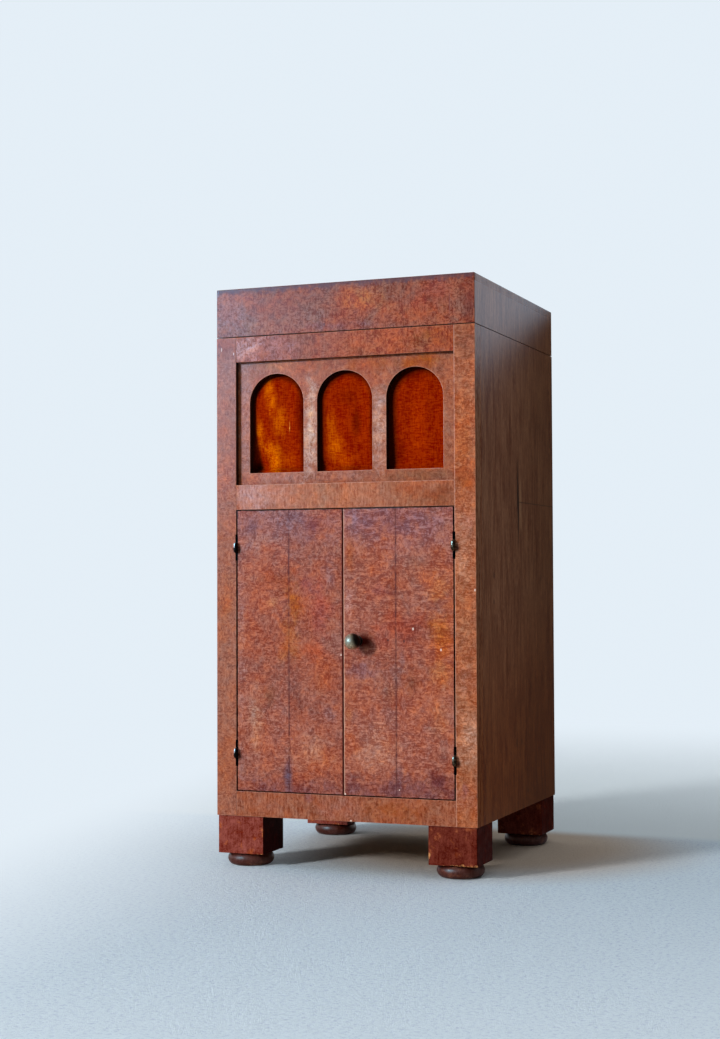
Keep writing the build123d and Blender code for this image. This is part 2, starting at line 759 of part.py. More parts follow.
def door_knob():
    """A ball on a waisted neck, bored from behind for the spindle."""
    ball_level = knob_proud - knob_face_gap
    waist = knob_collar_thickness + knob_collar_radius - knob_neck_radius
    profile = [Line((0, 0), (knob_collar_radius, 0)),
               Line((knob_collar_radius, 0), (knob_collar_radius, knob_collar_thickness)),
               RadiusArc((knob_collar_radius, knob_collar_thickness), (knob_neck_radius, waist),
                         knob_collar_radius - knob_neck_radius),
               Line((knob_neck_radius, waist), (knob_neck_radius, ball_level)),
               Line((knob_neck_radius, ball_level), (0, ball_level)),
               Line((0, ball_level), (0, 0))]
    part = turned(profile, knob_axis(y_front - knob_face_gap), (0, -1, 0))
    part += Pos(*knob_axis(y_front - knob_proud)) * Sphere(knob_radius)
    return part - rod(knob_axis(y_front), (0, -1, 0), spindle_radius + running_clearance,
                      knob_face_gap + spindle_grip + running_clearance)


bush_bore = rod(knob_axis(y_front - cut_margin), (0, 1, 0), spindle_radius + running_clearance,
                door_thickness + bush_flange_thickness + 2 * cut_margin)
y_tongue = y_door_back + bush_flange_thickness + soft_gap
y_nut = y_tongue + tongue_plate_thickness
y_spindle_end = y_nut + nut_thickness
spindle_passage = rod(knob_axis(y_tongue - cut_margin), (0, 1, 0), spindle_radius + running_clearance,
                      y_spindle_end - y_tongue + 2 * cut_margin)

bush = rod(knob_axis(y_front), (0, 1, 0), bush_radius, door_thickness)
bush += rod(knob_axis(y_door_back), (0, 1, 0), bush_flange_radius, bush_flange_thickness)
doors["right"] -= rod(knob_axis(y_front - cut_margin), (0, 1, 0), bush_radius + running_clearance,
                      door_thickness + 2 * cut_margin)

tongue = rod(knob_axis(y_tongue), (0, 1, 0), tongue_plate_width / 2, tongue_plate_thickness)
tongue_end = knob_z - tongue_plate_reach + tongue_plate_width / 2
tongue += slab(about(knob_x, tongue_plate_width), (y_tongue, y_nut), (tongue_end, knob_z))
tongue += rod((knob_x, y_tongue, tongue_end), (0, 1, 0), tongue_plate_width / 2, tongue_plate_thickness)
nut_plane = Plane(origin=knob_axis(y_nut), x_dir=(1, 0, 0), z_dir=(0, 1, 0))

nodes["door_left"] = doors["left"]
nodes["door_right"] = doors["right"]
nodes["knob_bush"] = bush - bush_bore
nodes["door_knob"] = door_knob()
nodes["knob_spindle"] = rod(knob_axis(y_front - knob_face_gap - spindle_grip), (0, 1, 0), spindle_radius,
                            y_spindle_end - y_front + knob_face_gap + spindle_grip)
nodes["latch_tongue"] = tongue - spindle_passage
nut = extrude(nut_plane * RegularPolygon(nut_radius, 6), nut_thickness, dir=(0, 1, 0))
nodes["latch_nut"] = nut - spindle_passage


# ------------------------------------------------------------------ lid
def lid_pieces():
    """The lid as a mitred box of four walls under a top."""
    whole = slab((-half_width, half_width), (y_front, y_back), (z_lid, z_lid_top))
    whole = fillet(whole.edges().filter_by(Axis.Z) + whole.faces().sort_by(Axis.Z)[-1].edges(), lid_round)
    corners = {(sx, sy): (sx * half_width, y_front if sy < 0 else y_back) for sx in (-1, 1) for sy in (-1, 1)}
    walls = {"front": ((-1, -1), (1, -1)), "back": ((-1, 1), (1, 1)),
             "left": ((-1, -1), (-1, 1)), "right": ((1, -1), (1, 1))}
    pieces = {"top": whole & slab((-half_width, half_width), (y_front, y_back),
                                  (z_lid_top - lid_top_thickness, z_lid_top))}
    for name, (start, end) in walls.items():
        outer = [corners[start], corners[end]]
        inner = [(corners[s][0] - s[0] * lid_wall, corners[s][1] - s[1] * lid_wall) for s in (end, start)]
        footprint = make_face(Polyline(*outer, *inner, close=True))
        wall = extrude(Pos(0, 0, z_lid) * footprint, lid_height - lid_top_thickness, dir=(0, 0, 1))
        pieces[name] = whole & wall
    return pieces


def butt_leaf(centre, z_plate, own, bore_radius):
    """A leaf of a lid hinge with its own knuckles."""
    x0 = centre - butt_length / 2
    pitch = butt_length / butt_knuckles
    part = slab((x0, x0 + butt_length), (y_back - butt_leaf_width, y_back), z_plate)
    for i in own:
        start, end = x0 + i * pitch + butt_knuckle_gap, x0 + (i + 1) * pitch - butt_knuckle_gap
        part += slab((start, end), (y_back, lid_axis_y), z_plate)
        part += rod((start, lid_axis_y, lid_axis_z), (1, 0, 0), butt_knuckle_radius, end - start)
    return part - rod((x0 - cut_margin, lid_axis_y, lid_axis_z), (1, 0, 0), bore_radius,
                      butt_length + 2 * cut_margin)


pieces = lid_pieces()
for centre in butt_centres:
    pieces["back"] -= butt_recess(centre, lid_plate)
pieces["back"] = drilled(pieces["back"], butt_screw, butt_lid_seats)
pieces["right"] = drilled(pieces["right"], stay_screw, stay_screw_seats)
for name, piece in pieces.items():
    nodes[f"lid_{name}"] = piece

case_knuckles = range(0, butt_knuckles, 2)
lid_knuckles = range(1, butt_knuckles, 2)
case_leaves = [butt_leaf(c, case_plate, case_knuckles, butt_pin_radius + butt_pin_fit)
               for c in butt_centres]
lid_leaves = [butt_leaf(c, lid_plate, lid_knuckles, butt_pin_radius + running_clearance)
              for c in butt_centres]
nodes["lid_hinge_case_leaves"] = group(drilled(leaf, butt_screw, butt_case_seats) for leaf in case_leaves)
nodes["lid_hinge_lid_leaves"] = group(drilled(leaf, butt_screw, butt_lid_seats) for leaf in lid_leaves)
nodes["lid_hinge_pins"] = group(rod((c - butt_length / 2, lid_axis_y, lid_axis_z), (1, 0, 0),
                                    butt_pin_radius, butt_length) for c in butt_centres)

stay = stay_band(stay_inner, stay_outer, stay_x, -stay_top_angle, stay_end_angle)
for angle in stay_screw_angles:
    stay += rod(stay_point(stay_x[1], -angle), (1, 0, 0), stay_boss_radius, half_width - lid_wall - stay_x[1])
stay += rod(stay_point(stay_x[0], stud_angle), (-1, 0, 0), stop_stud_radius, stop_stud_length)
nodes["lid_stay"] = drilled(stay, stay_screw, stay_screw_seats)
nodes["lid_hardware_screws"] = group(
    [*screws(butt_screw, butt_lid_seats), *screws(stay_screw, stay_screw_seats)])

guide = slab((inner_half - guide_depth, inner_half),
             about(guide_y, guide_length), about(guide_z, guide_height))
guide -= stay_band(stay_inner - guide_clearance, stay_outer + guide_clearance, grown(stay_x, guide_clearance),
                   -stay_top_angle, stay_end_angle)
nodes["stay_guide"] = drilled(guide, guide_screw, guide_screw_seats)
nodes["case_hardware_screws"] = group(
    [*screws(butt_screw, butt_case_seats), *screws(guide_screw, guide_screw_seats)])
nodes["lid_buffers"] = group(
    rod((side * (half_width - stile_width / 2), y_front + frame_thickness / 2, z_rim), (0, 0, 1),
        buffer_radius, lid_gap - soft_gap)
    for side in sides.values())

for name, shape in nodes.items():
    export_step(shape, f"parts/{name}.step")
print(len(nodes), "nodes")
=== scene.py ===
"""The looks of a small display cabinet: veneer, velvet, metal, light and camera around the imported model.

Sizes are metres in the model's own frame: +Z up, the front faces -Y, and the origin is on the floor below
the middle. Patches, marks, arrises, flecks and slack hold millimetres and 8-bit display colours.
"""

import math
import random
from dataclasses import dataclass

import bmesh
import bpy
from mathutils import Matrix, Vector


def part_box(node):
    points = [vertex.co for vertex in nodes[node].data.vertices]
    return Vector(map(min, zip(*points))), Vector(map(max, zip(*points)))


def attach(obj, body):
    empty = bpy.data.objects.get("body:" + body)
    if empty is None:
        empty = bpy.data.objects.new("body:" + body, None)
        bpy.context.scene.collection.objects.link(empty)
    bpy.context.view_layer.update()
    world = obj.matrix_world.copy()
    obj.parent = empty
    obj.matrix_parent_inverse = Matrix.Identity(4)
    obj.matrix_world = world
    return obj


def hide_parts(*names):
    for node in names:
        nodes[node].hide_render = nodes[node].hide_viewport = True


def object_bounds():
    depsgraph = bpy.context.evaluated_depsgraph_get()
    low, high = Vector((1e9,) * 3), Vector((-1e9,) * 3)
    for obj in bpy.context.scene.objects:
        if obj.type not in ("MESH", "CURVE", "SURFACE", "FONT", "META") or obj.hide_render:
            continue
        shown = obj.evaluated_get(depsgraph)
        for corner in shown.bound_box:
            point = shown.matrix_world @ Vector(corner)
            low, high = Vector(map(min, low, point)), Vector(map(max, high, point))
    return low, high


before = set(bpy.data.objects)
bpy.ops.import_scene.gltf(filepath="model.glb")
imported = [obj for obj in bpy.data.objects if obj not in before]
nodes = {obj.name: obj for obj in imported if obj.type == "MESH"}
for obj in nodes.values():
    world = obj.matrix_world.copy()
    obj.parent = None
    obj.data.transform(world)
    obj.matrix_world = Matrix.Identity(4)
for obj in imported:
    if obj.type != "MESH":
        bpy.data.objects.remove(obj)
cad_low, cad_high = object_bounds()

MM = 0.001

# The openings of the arch panel: three round-headed arches on one pitch.
ARCH_PITCH = 112.5 * MM
ARCH_HALF = 45.0 * MM
ARCH_SILL = 602.5 * MM
ARCH_SPRING = 754.5 * MM - ARCH_HALF


# ---- colours
def tone(red, green, blue, gain=1.0):
    """A colour given as 8-bit display values, as the linear RGBA that a node takes."""
    def linear(value):
        share = value / 255
        if share <= 0.04045:
            return share / 12.92
        return ((share + 0.055) / 1.055) ** 2.4
    return (linear(red) * gain, linear(green) * gain, linear(blue) * gain, 1.0)


def grey(level):
    """A neutral colour of that linear level."""
    return (level, level, level, 1.0)


# ---- node building
def node_maker(operation, turned=False):
    """A method that makes a node of that operation. Turned, it takes its own value last."""
    def method(self, other):
        first, second = (other, self) if turned else (self, other)
        return self.paint.math(operation, first, second)
    return method


class Value:
    """What a node puts out. Sums are written with it as with a number, and each sign makes a node."""
    __add__ = node_maker("ADD")
    __sub__ = node_maker("SUBTRACT")
    __rsub__ = node_maker("SUBTRACT", turned=True)
    __mul__ = node_maker("MULTIPLY")
    __truediv__ = node_maker("DIVIDE")
    __gt__ = node_maker("GREATER_THAN")
    over = node_maker("MAXIMUM")
    under = node_maker("MINIMUM")

    def __init__(self, paint, socket):
        self.paint = paint
        self.socket = socket

    def __abs__(self):
        return self.paint.math("ABSOLUTE", self)

    def held(self, low, high):
        """The number kept between two limits."""
        return self.over(low).under(high)

    def step(self, low, high, start=0.0, end=1.0):
        """A smooth step from start, where the number is low, to end, where it is high."""
        return self.paint.add("ShaderNodeMapRange", {0: self, 1: low, 2: high, 3: start, 4: end},
                              interpolation_type="SMOOTHSTEP")


class Paint:
    """A material or a world made of nodes. Most methods add nodes and return what they put out."""

    def __init__(self, name, kind="materials"):
        self.owner = getattr(bpy.data, kind).new(name)
        self.owner.use_nodes = True
        self.tree = self.owner.node_tree
        self.tree.nodes.clear()
        self.place = None

    def feed(self, socket, value):
        """Joins a value to an input, or sets the input to a plain number, vector or colour."""
        if isinstance(value, Value):
            self.tree.links.new(value.socket, socket)
        else:
            socket.default_value = value

    def add(self, kind, feeds, output=0, **settings):
        """One node of that kind with its settings and inputs."""
        node = self.tree.nodes.new(kind)
        for key, value in settings.items():
            setattr(node, key, value)
        for key, value in feeds.items():
            self.feed(node.inputs[key], value)
        return Value(self, node.outputs[output])

    def math(self, operation, *values):
        """A function of one or two numbers."""
        return self.add("ShaderNodeMath", dict(enumerate(values)), operation=operation)

    def vector(self, operation, first, second=(0.0, 0.0, 0.0), output=0):
        """A function of two vectors."""
        return self.add("ShaderNodeVectorMath", {0: first, 1: second}, output, operation=operation)

    def combine(self, x, y, z):
        """A vector of three numbers."""
        return self.add("ShaderNodeCombineXYZ", {0: x, 1: y, 2: z})

    def split(self, vector):
        """The three numbers of a vector."""
        node = self.tree.nodes.new("ShaderNodeSeparateXYZ")
        self.feed(node.inputs[0], vector)
        return [Value(self, output) for output in node.outputs]

    def mix(self, share, first, second, blend="MIX"):
        """The first colour where share is 0, and the second, or their blend, where it is 1."""
        return self.add("ShaderNodeMix", {0: share, 6: first, 7: second}, 2,
                        data_type="RGBA", blend_type=blend, clamp_factor=True)

    def noise(self, place, size, detail=2.0, roughness=0.5, distortion=0.0):
        """Cloudy noise about 0.5 whose features are that size."""
        return self.add("ShaderNodeTexNoise", {"Vector": place, "Scale": 1 / size, "Detail": detail,
                                               "Roughness": roughness, "Distortion": distortion})

    def ramp(self, value, first, second):
        """A colour by value, between two stops of (position, colour)."""
        node = self.tree.nodes.new("ShaderNodeValToRGB")
        self.feed(node.inputs[0], value)
        for element, stop in zip(node.color_ramp.elements, (first, second)):
            element.position, element.color = stop
        return Value(self, node.outputs[0])

    def here(self, *stretch):
        """The place on the piece at rest, in the model's frame, its axes multiplied by the stretch."""
        if self.place is None:
            self.place = self.add("ShaderNodeTexCoord", {}, "Object")
        return self.vector("MULTIPLY", self.place, stretch) if stretch else self.place

    def axes(self):
        """The place on the piece at rest, as its three numbers."""
        return self.split(self.here())

    def facing(self):
        """The way the surface faces, in the model's frame at rest."""
        return self.add("ShaderNodeTexCoord", {}, "Normal")

    def bump(self, height, depth, strength):
        """A surface direction with relief: height from 0 to 1 is depth in metres."""
        return self.add("ShaderNodeBump", {"Height": height, "Distance": depth, "Strength": strength})

    def grain_relief(self, light, depth, strength):
        """A surface direction that follows how light a grain is."""
        return self.bump(light * 0.1 + 0.5, depth, strength)

    def surface(self, colour, roughness, normal, extras):
        """Ends the material in a Principled shader."""
        feeds = {"Base Color": colour, "Roughness": roughness, "Normal": normal, **extras}
        return self.finish(self.add("ShaderNodeBsdfPrincipled", feeds))

    def finish(self, shader, output="ShaderNodeOutputMaterial"):
        """Joins a shader to the output."""
        self.feed(self.tree.nodes.new(output).inputs["Surface"], shader)
        return self.owner


# ---- wood
def painted_shading(x, z, half_x, half_z, colour, strength, softness=1.0, depth=0.3):
    """A soft mark on a front face, used for painted shadows and highlights: its middle, half sizes, colour,
    strength, and how its outline ends.
    """
    return x, z, half_x, half_z, colour, strength, softness, depth


def chip(x, z, size, colour, height=1.0, strength=0.9):
    """A small crisp mark of that half width. Height is how much taller it is than wide."""
    return x, z, size, size * height, colour, strength, 0.45, 0.45


def hinge_shadow(x, z):
    """A painted shadow beside a hinge, dark red-brown where its olive shades the wood."""
    return painted_shading(x, z, 7, 9, (52, 12, 4), 0.85)


@dataclass
class Figure:
    """How one leaf of burr veneer looks.

    A patch is its x, z, half width, half height, colour and strength; some patches, marked where they stand,
    are painted sheen. An arris is its side, colour, width and strength: a band along that side, darkened or
    rubbed pale by use, painted shade along a gap or recess, or a painted highlight.
    """
    middle: tuple
    patches: tuple
    arrises: tuple
    marks: tuple = ()
    seam: float = None
    lively: float = 1.0
    mottle: float = 0.9
    hue: float = 1.0
    curl: float = 0.0
    comb: float = 0.0
    stretch: tuple = (1.0, 1.0, 1.0)
    seed: float = 0.0
    rim: float = 0.35
    tint: tuple = (1.0, 1.0, 1.0)
    edge: tuple = (46, 22, 14)


# What one unit of lightness adds to each channel in display values, and one unit of warmth as a share.
LIGHT_STEP = (10.0, 9.7, 8.4)
WARMTH = (0.075, -0.035, -0.160)
DISPLAY_GAMMA = 2.2

# The sizes of the veneer's features, from the finest to the broadest.
WORM = 2.8 * MM
COMB = 2.8 * MM
SPECKLE = 3.2 * MM
CURL = 4.6 * MM
MOTTLE = 11 * MM
TURN = 16 * MM
CURL_REGION = 40 * MM
CLOUD = 46 * MM

# The colours that come back in several leaves.
PLUM = (118, 66, 68)
SLATE = (102, 70, 74)
RUST = (138, 60, 42)
DARK_RED = (108, 44, 28)
SEAM_DARK = (84, 42, 42)
# The next colour is painted shade in the gaps between parts.
GAP_DARK = (34, 14, 10)
# The next colour is the pale rim along arrises: partly rubbed wear, partly painted highlight.
PALE_WEAR_AND_HIGHLIGHT = (206, 150, 128)
PALE_CHIP = (232, 214, 200)
DOT = (70, 44, 46)
JOINT = (74, 42, 38)

SEAM_HALF = 0.5 * MM
SEAM_SHADOW = 4 * MM
SEAM_DRIFT = 1.6 * MM
SEAM_WANDER = 60 * MM

# How patches end: the size and the depth of their ragged outline, and where they begin to show.
PATCH_GRAIN = 24 * MM
PATCH_RAGGED = 3.0
PATCH_START = 1.4

# How ragged the bands along an edge are, and how far the pale rim, partly rubbed wear and partly painted
# highlight, reaches in from arrises and from the arches.
EDGE_GRAIN = 6 * MM
RIM_WEAR_AND_HIGHLIGHT = 0.8 * MM
ARCH_WEAR_AND_HIGHLIGHT = 1.4 * MM
ARCH_WEAR_AND_HIGHLIGHT_SHARE = 0.5


def lightness_gains(colour, tint=(1.0, 1.0, 1.0)):
    """The share by which one unit of lightness changes each channel, so that all change alike to the eye."""
    seen = [255 * (channel * gain) ** (1 / DISPLAY_GAMMA) for channel, gain in zip(colour, tint)]
    return [DISPLAY_GAMMA * step / value for step, value in zip(LIGHT_STEP, seen)]


def modulated(paint, colour, amount, gains):
    """The colour with each channel changed by that amount of its gain."""
    factors = [(amount * gain + 1.0).over(0.1) for gain in gains]
    return paint.vector("MULTIPLY", colour, paint.combine(*factors))


def summed(*terms):
    """The sum of noises, each taken from its middle value 0.5 and weighted."""
    total = -0.5 * sum(weight for _, weight in terms)
    for noise, weight in terms:
        total = noise * weight + total
    return total


def contour(value, width):
    """1 on the winding lines where a noise has its middle value, and 0 that much above and below it."""
    return abs(value - 0.5).step(width, 0.0)


def slant(along, above):
    """The length of a way that goes so far along and so far above."""
    return along.paint.math("SQRT", along * along + above * above)


def burr(paint, figure):
    """The colour of burr veneer, and how light its fine figure is."""
    x, y, z = paint.axes()
    place = paint.combine(x + figure.seed, y, z + figure.seed * 0.37)
    grain = paint.vector("MULTIPLY", place, figure.stretch)
    level = paint.noise(paint.vector("MULTIPLY", grain, (0.55, 1.0, 1.0)), SPECKLE, 1.5, 0.6, 0.8)
    upright = paint.noise(paint.vector("MULTIPLY", grain, (1.0, 1.0, 0.55)), SPECKLE, 1.5, 0.6, 0.8)
    speckle = (level - upright) * paint.noise(place, TURN, 1.0).step(0.44, 0.56) + upright
    worms = contour(paint.noise(grain, WORM, 0.0, 0.5, 1.6), 0.07)
    mottle = paint.noise(grain, MOTTLE, 3.0, 0.55, 0.6)
    light = summed((speckle, 13.0 * figure.lively), (mottle, 4.4 * figure.mottle))
    light = light + (worms * (-2.2 * figure.lively) + 0.6 * figure.lively)
    if figure.curl:
        leaf = x if figure.seam is None else abs(x - figure.seam)
        waves = paint.noise(paint.combine(leaf * 0.26, y, z), CURL, 2.0, 0.55, 0.5)
        streaks = contour(waves, 0.09) * (-3.0 * figure.curl) + summed((waves, 7.0 * figure.curl))
        light = streaks * paint.noise(place, CURL_REGION, 2.0).step(0.34, 0.56) + light
    if figure.comb:
        lines = paint.noise(paint.here(1.0, 1.0, 0.10), COMB, 2.0, 0.6, 0.1)
        light = light + summed((lines, 11.0 * figure.comb))
    light = light.held(-2.5, 2.6)

    warm_cloud = paint.noise(place, CLOUD, 4.0, 0.6, 0.7)
    warm_spot = paint.noise(place, MOTTLE, 2.0, 0.6, 0.8)
    warmth = summed((warm_cloud, 8.0 * figure.hue), (warm_spot, 5.0 * figure.hue)).held(-2.2, 2.6)

    middle = tone(*figure.middle)
    colour = blotched(paint, middle, figure.patches)
    colour = modulated(paint, colour, warmth, WARMTH)
    colour = modulated(paint, colour, light, lightness_gains(middle, figure.tint))
    colour = paint.vector("MULTIPLY", colour, figure.tint)
    if figure.seam is not None:
        colour = seam_line(paint, colour, figure.seam)
    return marked(paint, colour, figure.marks), light


def seam_line(paint, colour, seam):
    """Darkens the colour along the joint between two leaves of veneer."""
    x, _, z = paint.axes()
    drift = (paint.noise(paint.combine(0.0, 0.0, z), SEAM_WANDER) - 0.5) * SEAM_DRIFT
    away = abs(x - seam - drift)
    broken = paint.noise(paint.here(), 14 * MM, 3.0).step(0.36, 0.62)
    line = away.step(SEAM_HALF * 2.6, SEAM_HALF) * (broken * 0.6 + 0.35)
    return paint.mix(line.over(away.step(SEAM_SHADOW, 0.0) * 0.25), colour, tone(*SEAM_DARK))


def ragged(paint, size, depth, roughness=0.65):
    """Noise about 0 that makes an outline ragged, with features of that size and that depth."""
    return (paint.noise(paint.here(), size, 4.0, roughness) - 0.5) * depth


def from_middle(paint, x, z, half_x, half_z):
    """How far a point of a front face is from a mark's middle, where 1 is its outline."""
    across, _, up = paint.axes()
    return slant((across - x * MM) / (half_x * MM), (up - z * MM) / (half_z * MM))


def blotched(paint, colour, patches):
    """Lays broad patches over the colour, all with the same cloudy outline."""
    outline = ragged(paint, PATCH_GRAIN, PATCH_RAGGED, 0.62)
    for *place, tint, strength in patches:
        away = outline + from_middle(paint, *place)
        colour = paint.mix(away.step(PATCH_START, 0.0) * strength, colour, tone(*tint))
    return colour


def marked(paint, colour, marks):
    """Lays chips and soft marks of painted light and shade over the colour, each with its own ragged
    outline.
    """
    for *place, tint, strength, softness, depth in marks:
        away = ragged(paint, max(min(place[2:]), 1.0) * 0.8 * MM, 2 * depth) + from_middle(paint, *place)
        colour = paint.mix(away.step(1.0, 1.0 - softness) * strength, colour, tone(*tint))
    return colour


def rim_distance(paint, low, high):
    """How far a point of a box's surface is from the nearest arris of the box."""
    near = [(value - low[a]).under(high[a] - value) for a, value in enumerate(paint.axes())]
    return near[0].under(near[1]).over(near[0].over(near[1]).under(near[2]))


def side_distance(paint, low, high, side):
    """How far a point of a front face is from one side of that face."""
    value = paint.axes()[2 if side in ("top", "bottom") else 0]
    if side in ("left", "bottom"):
        return value - (low.x if side == "left" else low.z)
    return (high.x if side == "right" else high.z) - value


def nearest_arch(x):
    """The place along X from the middle line of the nearest arch, and that arch's number from -1 to 1."""
    number = x.paint.math("ROUND", x / ARCH_PITCH).held(-1.0, 1.0)
    return x - number * ARCH_PITCH, number


def arch_distance(paint):
    """How far a point of the arch panel is from the outline of the nearest arch."""
    x, _, z = paint.axes()
    local, _ = nearest_arch(x)
    reach = slant(local, (z - ARCH_SPRING).over(0.0)) - ARCH_HALF
    return abs(reach.over(ARCH_SILL - z))


def edge_wear_and_shading(paint, colour, distance, strength, tint, width):
    """The tint laid over the colour within that distance of an edge, broken up by noise. It lays rubbed
    wear, painted shade and painted highlights along edges.
    """
    away = ragged(paint, EDGE_GRAIN, 2.2 * width) + distance
    return paint.mix(away.step(width, width * 0.2) * strength, colour, tone(*tint))


# ---- the sides' veneer
SIDE_MIDDLE = tone(142, 89, 60)
SIDE_BACK = tone(121, 72, 42)
SIDE_LOW = tone(133, 63, 17)
SIDE_CORNER = tone(96, 44, 13)
SIDE_BEND = 0.016
SIDE_SEAM = 19 * MM
SIDE_LEVEL_SEAM = 559 * MM
LEVEL_SEAM_EDGE = (1.2 * MM, 0.4 * MM)
LEVEL_SEAM_DARK = tone(52, 28, 16)

# The crack in the right side, by its ends along Y and Z, and the pale raised lip beside it.
CRACK_TOP = (18.5 * MM, 628 * MM)
CRACK_END = (21 * MM, 488 * MM)
CRACK_HALF = 4.6 * MM
CRACK_EDGE = (1.2 * MM, -0.6 * MM)
CRACK_DARK = tone(30, 12, 6)
LIP_AWAY = 14 * MM
LIP_EDGE = (8 * MM, 2 * MM)
LIP_PALE = tone(178, 128, 92)

# Dark flecks of the right side: place along Y, height, half width and half length.
SIDE_FLECKS = (
    (-109, 444, 5, 7), (148, 440, 4, 8), (-110, 404, 4, 5), (5, 183, 4, 9), (32, 182, 4, 6), (64, 103, 5, 5),
)
FLECK_DARK = tone(62, 36, 24)


def side_veneer(paint):
    """The colour of the straight-grained veneer of the sides, and how light its grain is."""
    x, y, z = paint.axes()
    across = paint.noise(paint.here(1.0, 1.0, 0.5), 130 * MM) * SIDE_BEND + y
    broad = paint.noise(paint.combine(x, across, z * 0.10), 12 * MM, 3.0, 0.6)
    grain = paint.noise(paint.combine(x, across, z * 0.09), 4.0 * MM, 3.0, 0.65)
    pores = paint.noise(paint.combine(x, across, z * 0.16), 1.4 * MM, 1.0, 0.6)
    clouds = paint.noise(paint.here(1.0, 1.0, 0.6), 60 * MM, 4.0, 0.6, 0.5)
    light = summed((broad, 6.0), (grain, 15.0), (pores, 10.0), (clouds, 4.0)).held(-2.4, 3.0)
    colour = paint.mix(y.step(-120 * MM, 200 * MM), SIDE_MIDDLE, SIDE_BACK)
    colour = paint.mix(z.step(460 * MM, 120 * MM) * 0.8, colour, SIDE_LOW)
    corner = z.step(420 * MM, 150 * MM) * y.step(-60 * MM, 120 * MM)
    colour = paint.mix(corner * 0.6, colour, SIDE_CORNER)
    return modulated(paint, colour, light, lightness_gains(SIDE_MIDDLE)), light


def side_wear(paint, colour):
    """The crack, the level joint and the flecks of the right side."""
    x, y, z = paint.axes()
    right = x > 0.0
    share = (z - CRACK_END[1]) / (CRACK_TOP[1] - CRACK_END[1])
    away = y - (share * (CRACK_TOP[0] - CRACK_END[0]) + CRACK_END[0])
    bulge = 1.0 - abs(share * 2.0 - 1.0)
    crack = (abs(away) - bulge.over(0.0) * CRACK_HALF).step(*CRACK_EDGE) * (bulge > 0.0)
    lip = abs(away - LIP_AWAY).step(*LIP_EDGE) * bulge.step(0.2, 0.7)
    level = abs(z - SIDE_LEVEL_SEAM).step(*LEVEL_SEAM_EDGE) * (y > SIDE_SEAM)
    wear = [(crack, 0.95, CRACK_DARK), (lip, 0.6, LIP_PALE), (level, 0.7, LEVEL_SEAM_DARK)]
    for place, height, half, length in SIDE_FLECKS:
        aside = (y - place * MM) / (half * MM)
        above = (z - height * MM) / (length * MM)
        wear.append(((aside * aside + above * above).step(1.0, 0.2), 0.6, FLECK_DARK))
    for amount, strength, tint in wear:
        colour = paint.mix(amount * right * strength, colour, tint)
    return colour


def plain_wood(paint, dark, light, size=3.5 * MM, along="z"):
    """The colour of plain straight-grained wood that runs along one axis, and a height for its relief."""
    place = paint.here(*(0.05 if axis == along else 1.0 for axis in "xyz"))
    rings = paint.noise(place, size, 4.0, 0.6, 0.3)
    broad = paint.noise(place, size * 9, 2.0, 0.5, 0.5)
    value = rings * 0.55 + broad * 0.45
    return paint.ramp(value, (0.36, dark), (0.64, light)), value


# ---- veneers
INNER_DARK = tone(92, 52, 36)
INNER_LIGHT = tone(150, 96, 62)
GLOSS = {"Specular IOR Level": 0.12, "Specular Tint": (0.72, 0.88, 1.0, 1.0)}
SIDE_GLOSS = {"Specular IOR Level": 0.2, "Specular Tint": (0.80, 0.90, 1.0, 1.0)}
VENEER_ROUGH = (0.19, 0.27)

# The faces that show the wood under the veneer: the axis each one faces along, and which way.
BACK = (1, 1.0)
BELOW = (2, -1.0)


def veneered(name, figure, low, high, outward=(), inner=(), arches=False):
    """Burr veneer on a front, side veneer on its outward ends, and plain wood inside and on its edges."""
    paint = Paint(name)
    facing = paint.split(paint.facing())
    colour, light = burr(paint, figure)
    # The pale rim along the arrises and round the arches is partly rubbed wear and partly painted highlight;
    # the arrises that follow lay wear, painted shade and painted highlights.
    colour = edge_wear_and_shading(paint, colour, rim_distance(paint, low, high), figure.rim, PALE_WEAR_AND_HIGHLIGHT, RIM_WEAR_AND_HIGHLIGHT)
    if arches:
        colour = edge_wear_and_shading(paint, colour, arch_distance(paint), ARCH_WEAR_AND_HIGHLIGHT_SHARE, PALE_WEAR_AND_HIGHLIGHT, ARCH_WEAR_AND_HIGHLIGHT)
    before_arrises = colour
    for side, tint, width, strength in figure.arrises:
        colour = edge_wear_and_shading(paint, colour, side_distance(paint, low, high, side), strength, tint, width * MM)
    edge = paint.math("LESS_THAN", abs(facing[1]), 0.5)
    if "top" in outward:
        upward = facing[2] > 0.5
        edge = edge * (1.0 - upward)
        colour = paint.mix(upward, colour, before_arrises)
    edge_wood, _ = plain_wood(paint, tone(*figure.edge, 0.7), tone(*figure.edge, 1.3))
    colour = paint.mix(edge, colour, edge_wood)
    for end, sign in (("left", -1.0), ("right", 1.0)):
        if end in outward:
            side_colour, _ = side_veneer(paint)
            colour = paint.mix(facing[0] * sign > 0.7, colour, side_colour)
    for axis, sign in inner:
        wood, _ = plain_wood(paint, INNER_DARK, INNER_LIGHT, along="x" if BELOW in inner else "z")
        colour = paint.mix(facing[axis] * sign > 0.5, colour, wood)
    rough = paint.noise(paint.here(), 30 * MM, 3.0, 0.6).step(0.3, 0.7, *VENEER_ROUGH)
    return paint.surface(colour, rough, paint.grain_relief(light, 0.12 * MM, 0.4), GLOSS)


def sides_material():
    """The sides' veneer, with the wear of the right side."""
    paint = Paint("side_veneer")
    colour, light = side_veneer(paint)
    relief = paint.grain_relief(light, 0.1 * MM, 0.4)
    return paint.surface(side_wear(paint, colour), 0.28, relief, SIDE_GLOSS)


def dress(material, *names):
    """Gives the material to CAD nodes."""
    for name in names:
        for slot in nodes[name].material_slots:
            slot.link = "OBJECT"
            slot.material = material


def modify(piece, name, kind, **settings):
    """Adds a modifier with its settings."""
    modifier = piece.modifiers.new(name, kind)
    for key, value in settings.items():
        setattr(modifier, key, value)


